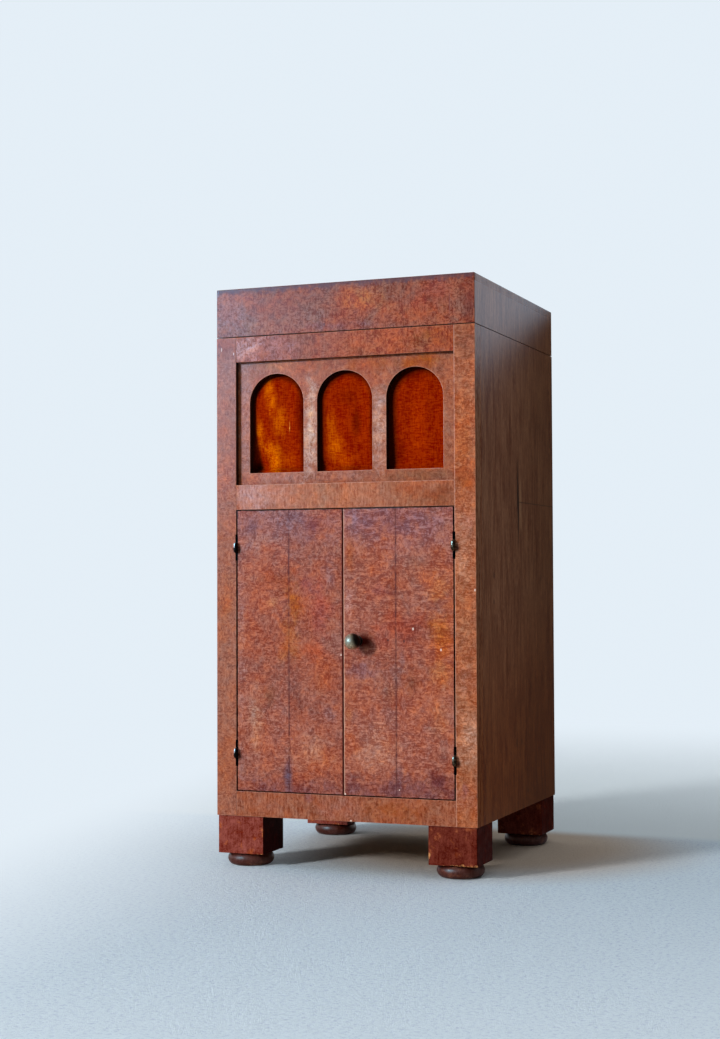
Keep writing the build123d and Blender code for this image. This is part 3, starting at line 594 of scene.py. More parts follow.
def soften(width, *names):
    """Rounds the sharp arrises of CAD nodes a little."""
    for name in names:
        piece = nodes[name]
        modify(piece, "weld", "WELD", merge_threshold=1e-5)
        modify(piece, "flat faces", "DECIMATE", decimate_type="DISSOLVE", angle_limit=math.radians(0.5))
        modify(piece, "arris", "BEVEL", width=width, segments=2, limit_method="ANGLE",
               angle_limit=math.radians(40))
        modify(piece, "shading", "WEIGHTED_NORMAL", keep_sharp=False)


LEFT_DOOR = Figure(
    middle=(150, 79, 56), curl=0.65, hue=1.2, seed=0.0, seam=-88.6 * MM, tint=(1.09, 1.25, 1.44),
    lively=1.05, edge=(132, 60, 44),
    patches=(
        (-92, 205, 110, 90, (157, 88, 68), 0.6), (-88, 524, 110, 42, (138, 83, 73), 0.85),
        (-152, 520, 22, 14, (114, 68, 66), 0.7), (-78, 530, 12, 14, SLATE, 0.6),
        (-44, 524, 20, 18, (112, 52, 52), 0.85), (-128, 498, 26, 14, (160, 102, 82), 0.6),
        (-120, 488, 12, 14, (156, 74, 46), 0.6), (-100, 436, 34, 28, (148, 68, 34), 0.75),
        (-77, 397, 15, 31, (160, 72, 12), 0.95), (-86, 345, 16, 38, (158, 80, 32), 0.8),
        (-116, 402, 14, 10, (172, 100, 60), 0.6), (-58, 428, 12, 18, (122, 58, 56), 0.75),
        (-36, 385, 20, 46, (150, 70, 56), 0.75), (-20, 445, 10, 30, (144, 92, 82), 0.5),
        (-50, 332, 22, 22, (164, 74, 42), 0.8), (-122, 262, 14, 16, (130, 64, 36), 0.8),
        (-74, 250, 12, 26, (124, 60, 42), 0.6), (-144, 222, 14, 48, (176, 114, 84), 0.7),
        (-36, 292, 12, 26, (172, 86, 46), 0.7), (-24, 238, 10, 18, (138, 88, 78), 0.5),
        (-50, 178, 34, 24, (172, 108, 80), 0.7), (-168, 330, 9, 170, (158, 98, 80), 0.7),
        (-90, 121, 100, 19, (112, 62, 60), 0.8), (-90, 138, 7, 28, SLATE, 0.9),
        (-74, 130, 12, 12, RUST, 0.6),
    ),
    marks=(
        chip(-3.2, 325.3, 1.5, PALE_CHIP), chip(-84, 197, 1.3, (110, 70, 110), 1.2, 0.6),
        # Painted shadows of the two hinges, beside their olives.
        hinge_shadow(-171.5, 484), hinge_shadow(-171.5, 169),
    ),
    arrises=(
        # The bands are painted shade in the gaps round the door.
        ("left", GAP_DARK, 1.3, 1.0), ("top", GAP_DARK, 1.5, 1.0),
        ("bottom", GAP_DARK, 1.0, 0.9), ("right", (96, 30, 26), 1.9, 0.9),
    ),
)
RIGHT_DOOR = Figure(
    middle=(152, 83, 60), curl=1.0, hue=1.15, seed=2.3, seam=84.7 * MM, tint=(1.14, 1.31, 1.53),
    patches=(
        (88, 205, 110, 90, (158, 91, 72), 0.6), (90, 530, 120, 60, (141, 85, 78), 0.8),
        (84, 524, 60, 26, (122, 73, 70), 0.6), (12, 536, 14, 8, (130, 92, 94), 0.6),
        (44, 516, 30, 20, (124, 72, 70), 0.4), (12, 474, 8, 30, (160, 76, 34), 0.8),
        (36, 474, 22, 30, (156, 88, 62), 0.45), (80, 430, 10, 38, (120, 56, 38), 0.7),
        (118, 460, 34, 26, (156, 82, 50), 0.5), (9, 400, 7, 32, (176, 110, 88), 0.9),
        (56, 420, 16, 16, (128, 64, 56), 0.7), (92, 362, 44, 36, (150, 67, 46), 0.75),
        (110, 366, 16, 16, (114, 44, 30), 0.3), (152, 428, 18, 26, (176, 100, 58), 0.8),
        (156, 362, 20, 48, (168, 80, 24), 0.9), (154, 300, 18, 30, (166, 92, 52), 0.8),
        (28, 306, 20, 16, (124, 74, 70), 0.75), (90, 302, 12, 20, (130, 90, 80), 0.7),
        (110, 286, 12, 20, (118, 60, 38), 0.75), (8, 244, 8, 26, (168, 88, 46), 0.8),
        (54, 188, 44, 38, (170, 106, 80), 0.75), (74, 268, 16, 18, (134, 82, 60), 0.5),
        (152, 232, 16, 30, (168, 94, 56), 0.6), (80, 126, 110, 20, (112, 60, 56), 0.8),
        (152, 136, 24, 20, (104, 44, 40), 0.8), (84, 136, 14, 26, SLATE, 0.45),
    ),
    marks=(
        # The first mark is a painted shadow of the knob, dark red-brown beside and below its ball.
        painted_shading(34, 346, 21, 19, (62, 8, 1), 0.97, 0.8, 0.25), chip(2.4, 118.2, 2.0, PALE_CHIP),
        chip(89.3, 127.7, 1.3, PALE_CHIP), chip(111.7, 365, 1.5, PALE_CHIP, 1.9),
        chip(155.2, 334.6, 1.5, PALE_CHIP, 1.5), chip(72, 348, 2.0, DOT, 1.0, 0.75),
        chip(97.5, 347, 2.2, DOT, 1.1, 0.7), chip(0.9, 435.4, 1.6, GAP_DARK, 4.2, 0.95),
    ),
    arrises=(
        # The pale left band is partly rubbed wear and partly a painted highlight; the dark bands are painted
        # shade in the gaps.
        ("left", PALE_WEAR_AND_HIGHLIGHT, 2.6, 0.85), ("top", GAP_DARK, 1.5, 1.0),
        ("bottom", GAP_DARK, 1.0, 0.9), ("right", GAP_DARK, 0.9, 0.9),
    ),
)
LID = Figure(
    middle=(134, 69, 46), comb=0.6, seed=3.1, lively=1.3, mottle=1.9, hue=1.5, rim=0.1,
    tint=(1.03, 1.09, 1.07), stretch=(1.25, 1.0, 1.25),
    patches=(
        (-70, 838, 60, 18, (132, 78, 62), 0.5), (-48, 872, 44, 10, (118, 62, 46), 0.6),
        (30, 858, 36, 18, (156, 80, 28), 0.85), (72, 842, 34, 14, (152, 78, 40), 0.6),
        (96, 866, 34, 16, (122, 62, 40), 0.6), (112, 834, 52, 16, (148, 66, 28), 0.75),
        (150, 862, 30, 20, RUST, 0.55), (203, 852, 16, 44, DARK_RED, 0.9), (-8, 822, 60, 7, PLUM, 0.5),
        (-150, 828, 46, 12, (148, 84, 60), 0.6), (-186, 846, 44, 44, (140, 84, 74), 0.55),
    ),
    marks=(
        chip(-29, 824.5, 1.8, DOT, 1.8, 0.7), chip(171, 845, 0.7, PLUM, 30.0, 0.6),
        chip(188, 867, 4, DARK_RED, 1.6, 0.6), chip(-62, 868, 6, DARK_RED, 0.25, 0.6),
        chip(-48, 868.4, 4, DARK_RED, 0.3, 0.5),
    ),
    arrises=(
        ("top", (86, 56, 62), 11, 0.85), ("top", (48, 34, 38), 1.5, 0.9),
        ("bottom", GAP_DARK, 0.8, 0.6), ("left", (66, 50, 62), 1.4, 0.5),
    ),
)
TOP_RAIL = Figure(
    middle=(147, 73, 42), comb=0.5, seed=1.7, mottle=1.7, hue=1.3, lively=1.15,
    patches=(
        # The two pale patches at the left end are painted sheen.
        (-158, 794, 24, 22, (178, 122, 110), 0.95), (-108, 793, 36, 22, (146, 96, 92), 0.5),
        (-40, 794, 30, 18, (140, 72, 48), 0.6), (60, 794, 70, 22, (152, 76, 36), 0.7),
        (150, 794, 34, 24, (148, 66, 20), 0.9),
    ),
    arrises=(("bottom", (96, 44, 30), 1.0, 0.6), ("left", GAP_DARK, 0.5, 0.8)),
)
MIDDLE_RAIL = Figure(
    middle=(167, 97, 66), comb=0.6, seed=5.3, lively=0.7, mottle=0.7, stretch=(1.0, 1.0, 0.6),
    tint=(1.02, 1.08, 1.15),
    patches=(
        # The two pale patches at the left end are painted sheen.
        (-150, 565, 34, 24, (176, 124, 112), 0.9), (-108, 566, 36, 22, (176, 114, 92), 0.8),
        (-20, 566, 90, 20, (174, 102, 67), 0.6), (112, 563, 46, 24, (146, 78, 44), 0.85),
        (158, 560, 26, 26, (136, 66, 32), 0.9),
    ),
    arrises=(("top", (214, 160, 140), 1.2, 0.55), ("left", GAP_DARK, 0.5, 0.7)),
)
BOTTOM_RAIL = Figure(
    middle=(153, 85, 55), comb=0.6, seed=7.9, lively=0.8, mottle=0.8, stretch=(1.0, 1.0, 0.6),
    tint=(0.98, 1.05, 1.25),
    patches=(
        (-8, 96, 40, 18, (160, 94, 70), 0.85), (80, 96, 50, 16, (155, 77, 33), 0.8),
        (-56, 110, 10, 8, PLUM, 0.5), (-130, 96, 50, 14, (154, 90, 66), 0.5),
    ),
    marks=(chip(11.9, 78.7, 1.6, PALE_CHIP),),
    arrises=(("bottom", (190, 130, 100), 0.9, 0.4), ("left", GAP_DARK, 0.5, 0.6)),
)
LEFT_STILE = Figure(
    middle=(154, 93, 71), comb=0.3, seed=9.2, lively=0.85,
    patches=(
        (-194, 796, 22, 26, (139, 70, 46), 0.95), (-194, 700, 20, 60, (154, 88, 62), 0.85),
        (-194, 590, 20, 50, (160, 92, 68), 0.7), (-192, 410, 14, 44, (164, 82, 30), 0.5),
        (-196, 500, 20, 30, (150, 92, 72), 0.6),
    ),
    marks=(chip(-201.8, 794.7, 1.2, PALE_CHIP, 3.2, 0.6), chip(-181.1, 787.3, 1.2, PALE_CHIP, 2.2, 0.6)),
    arrises=(("right", GAP_DARK, 0.5, 0.5),),
)
RIGHT_STILE = Figure(
    middle=(158, 89, 57), curl=0.75, comb=0.15, seed=11.4, mottle=1.4, hue=1.1, tint=(1.12, 1.25, 1.36),
    lively=0.88,
    patches=(
        (194, 790, 20, 50, (143, 74, 45), 0.85), (192, 640, 20, 60, (168, 82, 33), 0.85),
        (194, 585, 20, 26, (148, 68, 26), 0.85), (194, 520, 20, 22, (170, 104, 80), 0.7),
        (193, 466, 20, 30, (174, 110, 80), 0.85), (192, 385, 20, 34, (162, 86, 50), 0.7),
        (192, 292, 20, 26, (162, 95, 70), 0.7), (196, 204, 20, 40, (180, 119, 90), 0.8),
        (194, 118, 20, 22, (160, 98, 77), 0.7), (191, 131, 5, 14, PLUM, 0.6),
    ),
    marks=(
        # The first two marks are painted shadows of the hinges, beside their olives.
        hinge_shadow(181.5, 484), hinge_shadow(181.5, 169), chip(208, 422.3, 1.5, PALE_CHIP, 1.6),
        chip(209.1, 124, 1.0, (40, 30, 30), 4.0, 0.7),
    ),
    # The pale left band is partly rubbed wear and partly a painted highlight.
    arrises=(("left", PALE_WEAR_AND_HIGHLIGHT, 2.0, 0.6), ("right", (190, 130, 92), 0.9, 0.3)),
)
PANEL = Figure(
    middle=(156, 86, 56), seed=13.8, mottle=1.2, hue=1.2, lively=0.7, comb=0.15,
    patches=(
        # The two patches at the left end are painted sheen.
        (-164, 766, 18, 16, (155, 98, 76), 0.85), (-165, 690, 12, 110, (158, 106, 90), 0.7),
        (-100, 766, 34, 12, (178, 98, 48), 0.8), (-56, 762, 40, 14, (158, 78, 38), 0.85),
        (50, 764, 60, 14, (158, 77, 28), 0.85), (130, 764, 50, 14, (158, 76, 8), 0.95),
        # The two pale patches on the mullions are painted sheen.
        (-57, 672, 15, 66, (192, 162, 148), 0.95), (56, 668, 14, 66, (178, 134, 118), 0.9),
        (165, 690, 12, 90, (158, 98, 72), 0.6), (-120, 597, 40, 10, (168, 112, 94), 0.7),
        (-4, 596, 44, 10, (154, 100, 84), 0.7), (118, 594, 50, 10, (136, 80, 50), 0.9),
    ),
    marks=(
        chip(-47.7, 595, 0.5, JOINT, 14.0, 0.6), chip(-3, 595, 0.5, JOINT, 14.0, 0.5),
        chip(68, 595, 0.5, JOINT, 14.0, 0.6), chip(-28, 588.6, 24, JOINT, 0.02, 0.5),
    ),
    arrises=(
        # The left and top bands are painted shadows that the stile and the top rail cast into the recess.
        ("bottom", (96, 60, 50), 1.2, 0.4), ("left", (16, 5, 3), 6.5, 1.0),
        ("top", (50, 22, 14), 2.6, 0.85),
    ),
)


def box_of(*names):
    """The box round some CAD nodes."""
    boxes = [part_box(name) for name in names]
    low = Vector([min(low[a] for low, _ in boxes) for a in range(3)])
    high = Vector([max(high[a] for _, high in boxes) for a in range(3)])
    return low, high


for node, figure, outward in (
        ("door_left", LEFT_DOOR, ()), ("door_right", RIGHT_DOOR, ()), ("top_rail", TOP_RAIL, ()),
        ("middle_rail", MIDDLE_RAIL, ()), ("bottom_rail", BOTTOM_RAIL, ()),
        ("front_stile_left", LEFT_STILE, ("left",)), ("front_stile_right", RIGHT_STILE, ("right",))):
    dress(veneered(f"{node}_veneer", figure, *box_of(node), outward, (BACK,)), node)
dress(veneered("arch_panel_veneer", PANEL, *box_of("arch_panel"), arches=True), "arch_panel")
lid_veneer = veneered("lid_veneer", LID, *box_of("lid_front", "lid_top"), ("left", "right", "top"),
                      (BACK, BELOW))
dress(lid_veneer, "lid_front", "lid_top")
dress(sides_material(), "side_left", "side_right", "lid_left", "lid_right")

soften(0.8 * MM, "door_left", "door_right", "arch_panel")
soften(0.5 * MM, "top_rail", "middle_rail", "bottom_rail")
soften(0.3 * MM, "front_stile_left", "front_stile_right", "lid_front", "side_left", "side_right",
       "lid_left", "lid_right")


# ---- shapes made here
BLOCK_SHARP = 50
BLOCK_ROUND_STEPS = 3


def added(name, data):
    """A new object of the scene, made of that mesh, lamp or camera."""
    piece = bpy.data.objects.new(name, data)
    bpy.context.scene.collection.objects.link(piece)
    return piece


def piece_of(name, bm, material, sharp_angle):
    """The finished piece from a bmesh, smooth but for edges sharper than that angle in degrees."""
    mesh = bpy.data.meshes.new(name)
    bm.to_mesh(mesh)
    bm.free()
    mesh.materials.append(material)
    mesh.shade_smooth()
    mesh.set_sharp_from_angle(angle=math.radians(sharp_angle))
    return added(name, mesh)


def stations(low, high, radius, spacing):
    """Levels along one edge of a block: close together over its rounded ends, evenly spaced between."""
    sideways = [radius * (1 - math.cos(math.pi / 2 * k / BLOCK_ROUND_STEPS)) for k in range(BLOCK_ROUND_STEPS)]
    inner_low, inner_high = low + radius, high - radius
    count = max(1, round((inner_high - inner_low) / spacing))
    middle = [inner_low + (inner_high - inner_low) * k / count for k in range(count + 1)]
    return [low + e for e in sideways] + middle + [high - e for e in reversed(sideways)]


def block_skin(levels):
    """A box's skin as a bmesh, its faces split at those levels of each axis."""
    bm = bmesh.new()
    made = {}

    def vertex(place):
        key = tuple(round(v * 1e6) for v in place)
        if key not in made:
            made[key] = bm.verts.new(place)
        return made[key]

    for axis in range(3):
        first, second = [a for a in range(3) if a != axis]
        for end in (levels[axis][0], levels[axis][-1]):
            for i in range(len(levels[first]) - 1):
                for j in range(len(levels[second]) - 1):
                    corners = []
                    for di, dj in ((0, 0), (1, 0), (1, 1), (0, 1)):
                        place = [end] * 3
                        place[first] = levels[first][i + di]
                        place[second] = levels[second][j + dj]
                        corners.append(vertex(place))
                    bm.faces.new(corners)
    bm.normal_update()
    bmesh.ops.recalc_face_normals(bm, faces=bm.faces)
    return bm


def worn_block(name, low, high, radius, spacing, bites, material, flat_underside=False):
    """A block with rounded, bitten arrises. Its vertex attribute raw is 1 where wood has broken away.

    A bite is a ball, given by its middle and its radius.
    """
    bm = block_skin([stations(low[a], high[a], radius, spacing[a]) for a in range(3)])
    raw = bm.verts.layers.float.new("raw")
    floor_level = low[2] if flat_underside else low[2] + radius
    inner_low = Vector((low[0] + radius, low[1] + radius, floor_level))
    inner_high = Vector((high[0] - radius, high[1] - radius, high[2] - radius))
    for point in bm.verts:
        core = Vector(min(max(point.co[a], inner_low[a]), inner_high[a]) for a in range(3))
        out = point.co - core
        if out.length > 1e-9:
            point.co = core + out.normalized() * max(abs(v) for v in out)
        for middle, reach in bites:
            out = point.co - middle
            if out.length < reach:
                point[raw] = 1.0
                point.co = middle + out.normalized() * reach
    for point in bm.verts:
        for a in range(3):
            point.co[a] = min(max(point.co[a], low[a]), high[a])
    return piece_of(name, bm, material, BLOCK_SHARP)


def edge_bites(start, end, count, size, seed):
    """Bites strewn along an arris, each with its middle a little outside it."""
    draw = random.Random(seed)
    bites = []
    for _ in range(count):
        place = start.lerp(end, draw.random())
        out = Vector((draw.uniform(-0.2, 0.2), draw.uniform(-0.5, 0.1), draw.uniform(-0.5, 0.1))) * size
        bites.append((place + out, draw.uniform(0.45, 1.0) * size))
    return bites


# ---- feet
RAW_WOOD = tone(196, 132, 82)
STAIN_GAINS = (0.20, 0.38, 0.48)
# How much painted shade darkens the feet's faces that look left and right: most on the left blocks, less on
# the right blocks, none on the buns.
FOOT_SIDE_SHADE_RED = (0.16, 0.03, 0.03)
FOOT_SIDE_SHADE_BROWN = (0.50, 0.18, 0.08)
NO_FOOT_SIDE_SHADE = (1.0, 1.0, 1.0)
BLOCK_GLOSS = (0.34, {"Specular IOR Level": 0.03})
BUN_GLOSS = (0.32, {"Specular IOR Level": 0.4, "Specular Tint": (1.0, 0.72, 0.60, 1.0)})
BLOCK_ROUND = 0.9 * MM
BLOCK_SPACING = (1.3 * MM, 4.0 * MM, 1.5 * MM)
BLOCK_BITE = 1.6 * MM

# The front right block is worn most: from a share of its front edge on, and between heights of its corner.
WORN_FROM = 0.42
WORN_BITE = 3.6 * MM
CORNER_BITE = 3.4 * MM
CORNER_HEIGHTS = (10 * MM, 18 * MM)
FOOT_ENDS = ("front", "back")
FOOT_SIDES = ("left", "right")


def foot_wood(name, middle, blotch, seed, side_shade, roughness, gloss):
    """Stained mahogany, worn, with pale wood where raw is 1, and with painted shade on its faces that look
    left and right.
    """
    paint = Paint(name)
    x, y, z = paint.axes()
    place = paint.combine(x + seed, y, z)
    grain = paint.noise(paint.vector("MULTIPLY", place, (1.0, 1.0, 0.14)), 3.4 * MM, 4.0, 0.65, 0.3)
    specks = paint.noise(place, 2.6 * MM, 2.0, 0.6, 0.8)
    clouds = paint.noise(place, 20 * MM, 4.0, 0.6, 0.6)
    light = summed((grain, 6.5), (specks, 7.0), (clouds, 8.0)).held(-2.2, 3.0)
    spots = paint.noise(place, 14 * MM, 3.0, 0.6, 0.4).step(0.54, 0.70)
    colour = modulated(paint, paint.mix(spots * 0.85, middle, blotch), light, STAIN_GAINS)
    # Painted shade on the faces that look left and right.
    sideways = abs(paint.split(paint.facing())[0]) > 0.7
    colour = paint.mix(sideways, colour, paint.vector("MULTIPLY", colour, side_shade))
    raw = paint.add("ShaderNodeAttribute", {}, 2, attribute_name="raw")
    broken = paint.noise(place, 2 * MM, 3.0) * 0.6 + raw
    colour = paint.mix(broken.step(0.75, 1.0), colour, RAW_WOOD)
    rough = paint.noise(place, 9 * MM, 3.0).step(0.3, 0.7, roughness, roughness + 0.14)
    return paint.surface(colour, rough, paint.grain_relief(light, 0.25 * MM, 0.5), gloss)


def feet():
    """The four foot blocks, each worn in its own way."""
    red = foot_wood("mahogany_left", tone(131, 61, 50), tone(178, 92, 48), 0.0, FOOT_SIDE_SHADE_RED, *BLOCK_GLOSS)
    brown = foot_wood("mahogany_right", tone(100, 38, 25), tone(148, 74, 44), 0.4, FOOT_SIDE_SHADE_BROWN, *BLOCK_GLOSS)
    for end in FOOT_ENDS:
        for side in FOOT_SIDES:
            node = f"foot_block_{end}_{side}"
            low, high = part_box(node)
            lower_left = Vector((low.x, low.y, low.z))
            lower_right = Vector((high.x, low.y, low.z))
            bites = edge_bites(lower_left, lower_right, 4, BLOCK_BITE, node)
            if node == "foot_block_front_right":
                worn_from = lower_left.lerp(lower_right, WORN_FROM)
                bites += edge_bites(worn_from, lower_right, 22, WORN_BITE, "worn front edge")
                corner = [lower_left + Vector((0, 0, height)) for height in CORNER_HEIGHTS]
                bites += edge_bites(*corner, 4, CORNER_BITE, "worn corner")
            wood = red if side == "left" else brown
            block = worn_block(f"{node}_wood", low, high, BLOCK_ROUND, BLOCK_SPACING, bites, wood)
            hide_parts(node)
            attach(block, "case")


# ---- the lid's top board
LID_TOP_ROUND = 1.2 * MM
LID_TOP_SPACING = (3.0 * MM, 6.0 * MM, 2.4 * MM)
LID_BITE = 1.5 * MM


def lid_board(material):
    """The lid's top board, its upper arrises rounded and nicked by use."""
    low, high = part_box("lid_top")
    upper_left = Vector((low.x, low.y, high.z))
    upper_right = Vector((high.x, low.y, high.z))
    upper_back = Vector((high.x, high.y, high.z))
    bites = []
    for start, end, count in ((upper_left, upper_right, 12), (upper_right, upper_back, 6)):
        for (x, y, z), radius in edge_bites(start, end, count, LID_BITE, f"lid {count}"):
            bites.append((Vector((x, y, 2 * high.z - z)), radius))
    board = worn_block("lid_top_board", low, high, LID_TOP_ROUND, LID_TOP_SPACING, bites, material, True)
    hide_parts("lid_top")
    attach(board, "lid")


# ---- velvet
VELVET_GAP = 0.35 * MM
VELVET_THICKNESS = 1.1 * MM
VELVET_CELL = 2.4 * MM
VELVET_EDGE = 9 * MM

# The velvet's fine waves: how deep, how far apart, and how far and how slowly they swing on their way up.
WAVE_DEPTH = 0.7 * MM
WAVE_LENGTH = 6.5 * MM
WAVE_SWING = 1.4
WAVE_SWING_LENGTH = 48 * MM

# Places where the velvet stands forward or falls back: x, z, half width, half height and reach forward.
ARCH_AWAY = ARCH_PITCH / MM
VELVET_SLACK = (
    (-ARCH_AWAY, 690, 70, 120, 5.0), (-ARCH_AWAY - 38, 612, 22, 36, -11.0),
    (0, 690, 70, 120, 4.5), (-36, 606, 16, 14, -5.0),
    (ARCH_AWAY, 690, 70, 120, 1.0), (ARCH_AWAY - 40, 618, 20, 44, -3.5),
)

# The painted shadow that the edges of the arches cast on the velvet.
SHADE_RIGHT = 4.0 * MM
SHADE_DOWN = 1.5 * MM
SHADE_DRIFT = 3 * MM
SHADE_START = ARCH_HALF - 12 * MM
SHADE_FULL = ARCH_HALF + 2 * MM
SHADE_STRENGTH = 0.88
SHADE_DARK = tone(30, 4, 0)

VELVET_RED = tone(142, 34, 1)
VELVET_GAINS = (1.0, 2.7, 2.7)
ORANGE = (197, 86, 0)
BRIGHT_ORANGE = (210, 102, 0)
DEEP_RED = (108, 18, 0)
# Painted light and shade on the velvet: orange highlights on its folds and dark red and near-black shade in
# its creases and sagging corners.
VELVET_LIGHT_AND_SHADE = (
    painted_shading(-131, 736, 12, 26, ORANGE, 0.75), painted_shading(-124, 710, 14, 30, ORANGE, 0.75),
    painted_shading(-111, 680, 18, 34, ORANGE, 0.7), painted_shading(-145, 664, 11, 34, ORANGE, 0.75),
    painted_shading(-132, 640, 16, 22, ORANGE, 0.7), painted_shading(-119, 620, 18, 36, BRIGHT_ORANGE, 0.9),
    painted_shading(-150, 606, 14, 24, (16, 2, 0), 0.95, 0.8, 0.25),
    painted_shading(-152, 740, 14, 24, (30, 4, 0), 0.8, 1.0, 0.25),
    painted_shading(-96, 620, 16, 24, (172, 60, 0), 0.6), painted_shading(-78, 690, 12, 70, DEEP_RED, 0.75),
    painted_shading(-128, 682, 3, 12, DEEP_RED, 0.55), painted_shading(-25, 668, 13, 36, ORANGE, 0.5),
    painted_shading(-18, 640, 20, 30, ORANGE, 0.7), painted_shading(-4, 618, 26, 20, (180, 66, 0), 0.6),
    painted_shading(0, 716, 26, 24, DEEP_RED, 0.6), painted_shading(16, 676, 12, 34, (94, 14, 0), 0.7),
    painted_shading(106, 742, 40, 14, DEEP_RED, 0.6), painted_shading(86, 626, 12, 44, DEEP_RED, 0.8),
    painted_shading(114, 668, 22, 70, (158, 44, 0), 0.6), painted_shading(-94, 672, 0.7, 12, (226, 150, 60), 0.85, 0.8, 0.4),
)


def arch_depth(x, z):
    """How far inside its arch's outline a point lies, in metres; negative outside."""
    local = x - ARCH_PITCH * max(-1, min(1, round(x / ARCH_PITCH)))
    rim = ARCH_HALF - math.hypot(local, max(0.0, z - ARCH_SPRING))
    return min(rim, z - ARCH_SILL)


def slack(x, z):
    """How far the velvet stands forward at a point that isn't held by the panel, in metres."""
    forward = WAVE_DEPTH * math.sin(x / WAVE_LENGTH + WAVE_SWING * math.sin(z / WAVE_SWING_LENGTH))
    for middle, level, half_x, half_z, reach in VELVET_SLACK:
        aside, above = (x / MM - middle) / half_x, (z / MM - level) / half_z
        forward += reach * MM * math.exp(-aside ** 2 - above ** 2)
    return forward


def velvet():
    """The velvet behind the arches, stretched over the panel's back and slack where it has aged."""
    low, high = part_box("velvet_backing")
    columns = round((high.x - low.x) / VELVET_CELL)
    rows = round((high.z - low.z) / VELVET_CELL)
    bm = bmesh.new()
    grid = []
    for j in range(rows + 1):
        z = low.z + (high.z - low.z) * j / rows
        line = []
        for i in range(columns + 1):
            x = low.x + (high.x - low.x) * i / columns
            inside = max(0.0, min(1.0, arch_depth(x, z) / VELVET_EDGE))
            share = inside * inside * (3 - 2 * inside)
            line.append(bm.verts.new((x, low.y + VELVET_GAP - share * slack(x, z), z)))
        grid.append(line)
    for j in range(rows):
        for i in range(columns):
            bm.faces.new((grid[j][i], grid[j][i + 1], grid[j + 1][i + 1], grid[j + 1][i]))
    cloth = piece_of("velvet_cloth", bm, velvet_material(), 180)
    modify(cloth, "thickness", "SOLIDIFY", thickness=VELVET_THICKNESS, offset=-1)
    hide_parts("velvet_backing")
    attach(cloth, "case")


def shaded_velvet(paint):
    """1 where the painted shadow of an arch's edge falls on the velvet: the arch's outline moved right and
    down.
    """
    x, _, z = paint.axes()
    local, number = nearest_arch(x)
    local = local - (number * SHADE_DRIFT + SHADE_RIGHT)
    return slant(local, (z - (ARCH_SPRING - SHADE_DOWN)).over(0.0)).step(SHADE_START, SHADE_FULL)


def velvet_material():
    """Rust-coloured cotton velvet, red-brown, with painted orange highlights on its folds, painted shade in
    its creases and corners, and the arches' painted shadows.
    """
    paint = Paint("velvet")
    warp = paint.noise(paint.here(1.0, 1.0, 0.16), 2.2 * MM, 0.0, 0.5)
    weft = paint.noise(paint.here(0.26, 1.0, 1.0), 2.1 * MM, 0.0, 0.5)
    pile = paint.noise(paint.here(), 2.0 * MM, 1.0)
    clouds = paint.noise(paint.here(1.0, 1.0, 0.4), 18 * MM, 3.0, 0.6, 0.3)
    light = summed((warp, 0.5), (weft, 0.7), (pile, 0.75), (clouds, 0.35)).held(-0.30, 0.34)
    colour = modulated(paint, marked(paint, VELVET_RED, VELVET_LIGHT_AND_SHADE), light, VELVET_GAINS)
    colour = paint.mix(shaded_velvet(paint) * SHADE_STRENGTH, colour, SHADE_DARK)
    nap = {"Specular IOR Level": 0.0, "Sheen Weight": 0.12, "Sheen Roughness": 0.45,
           "Sheen Tint": tone(255, 120, 20)}
    return paint.surface(colour, 1.0, paint.bump(light + 0.5, 0.5 * MM, 0.6), nap)


# ---- metal
KNOB_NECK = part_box("door_knob")[0].y + 21 * MM
KNOB_HIGHLIGHT_AXIS = (-0.20, -0.95, 0.24)
KNOB_DARK = (0.38, 0.28, 0.17, 1.0)
KNOB_PALE = (0.82, 0.66, 0.44, 1.0)
KNOB_HIGHLIGHT_TONE = (0.22, 0.125, 0.095, 1.0)
KNOB_SHADE = (0.012, 0.008, 0.006, 1.0)
HINGE_LEVELS = (173.5 * MM, 488.0 * MM)
OLIVE_HALF = 8.6 * MM
OLIVE_BLACK = (0.008, 0.006, 0.006, 1.0)
OLIVE_DARK = (0.020, 0.012, 0.008, 1.0)
OLIVE_BROWN = (0.13, 0.09, 0.055, 1.0)
OLIVE_HIGHLIGHT_LEFT = (1.0, 0.95, 0.95, 1.0)
OLIVE_HIGHLIGHT_RIGHT = (0.50, 0.42, 0.34, 1.0)
LEAF_SHADE = grey(0.003)


def aged_metal(name, base, worn, roughness):
    """Old metal, tarnished, with rubbed places."""
    paint = Paint(name)
    clouds = paint.noise(paint.here(), 2.5 * MM, 4.0, 0.6, 0.4)
    colour = paint.mix(clouds.step(0.42, 0.62), base, worn)
    rough = clouds.step(0.3, 0.7, roughness + 0.12, roughness - 0.06)
    return paint.surface(colour, rough, paint.bump(clouds, 0.08 * MM, 0.5), {"Metallic": 0.95})


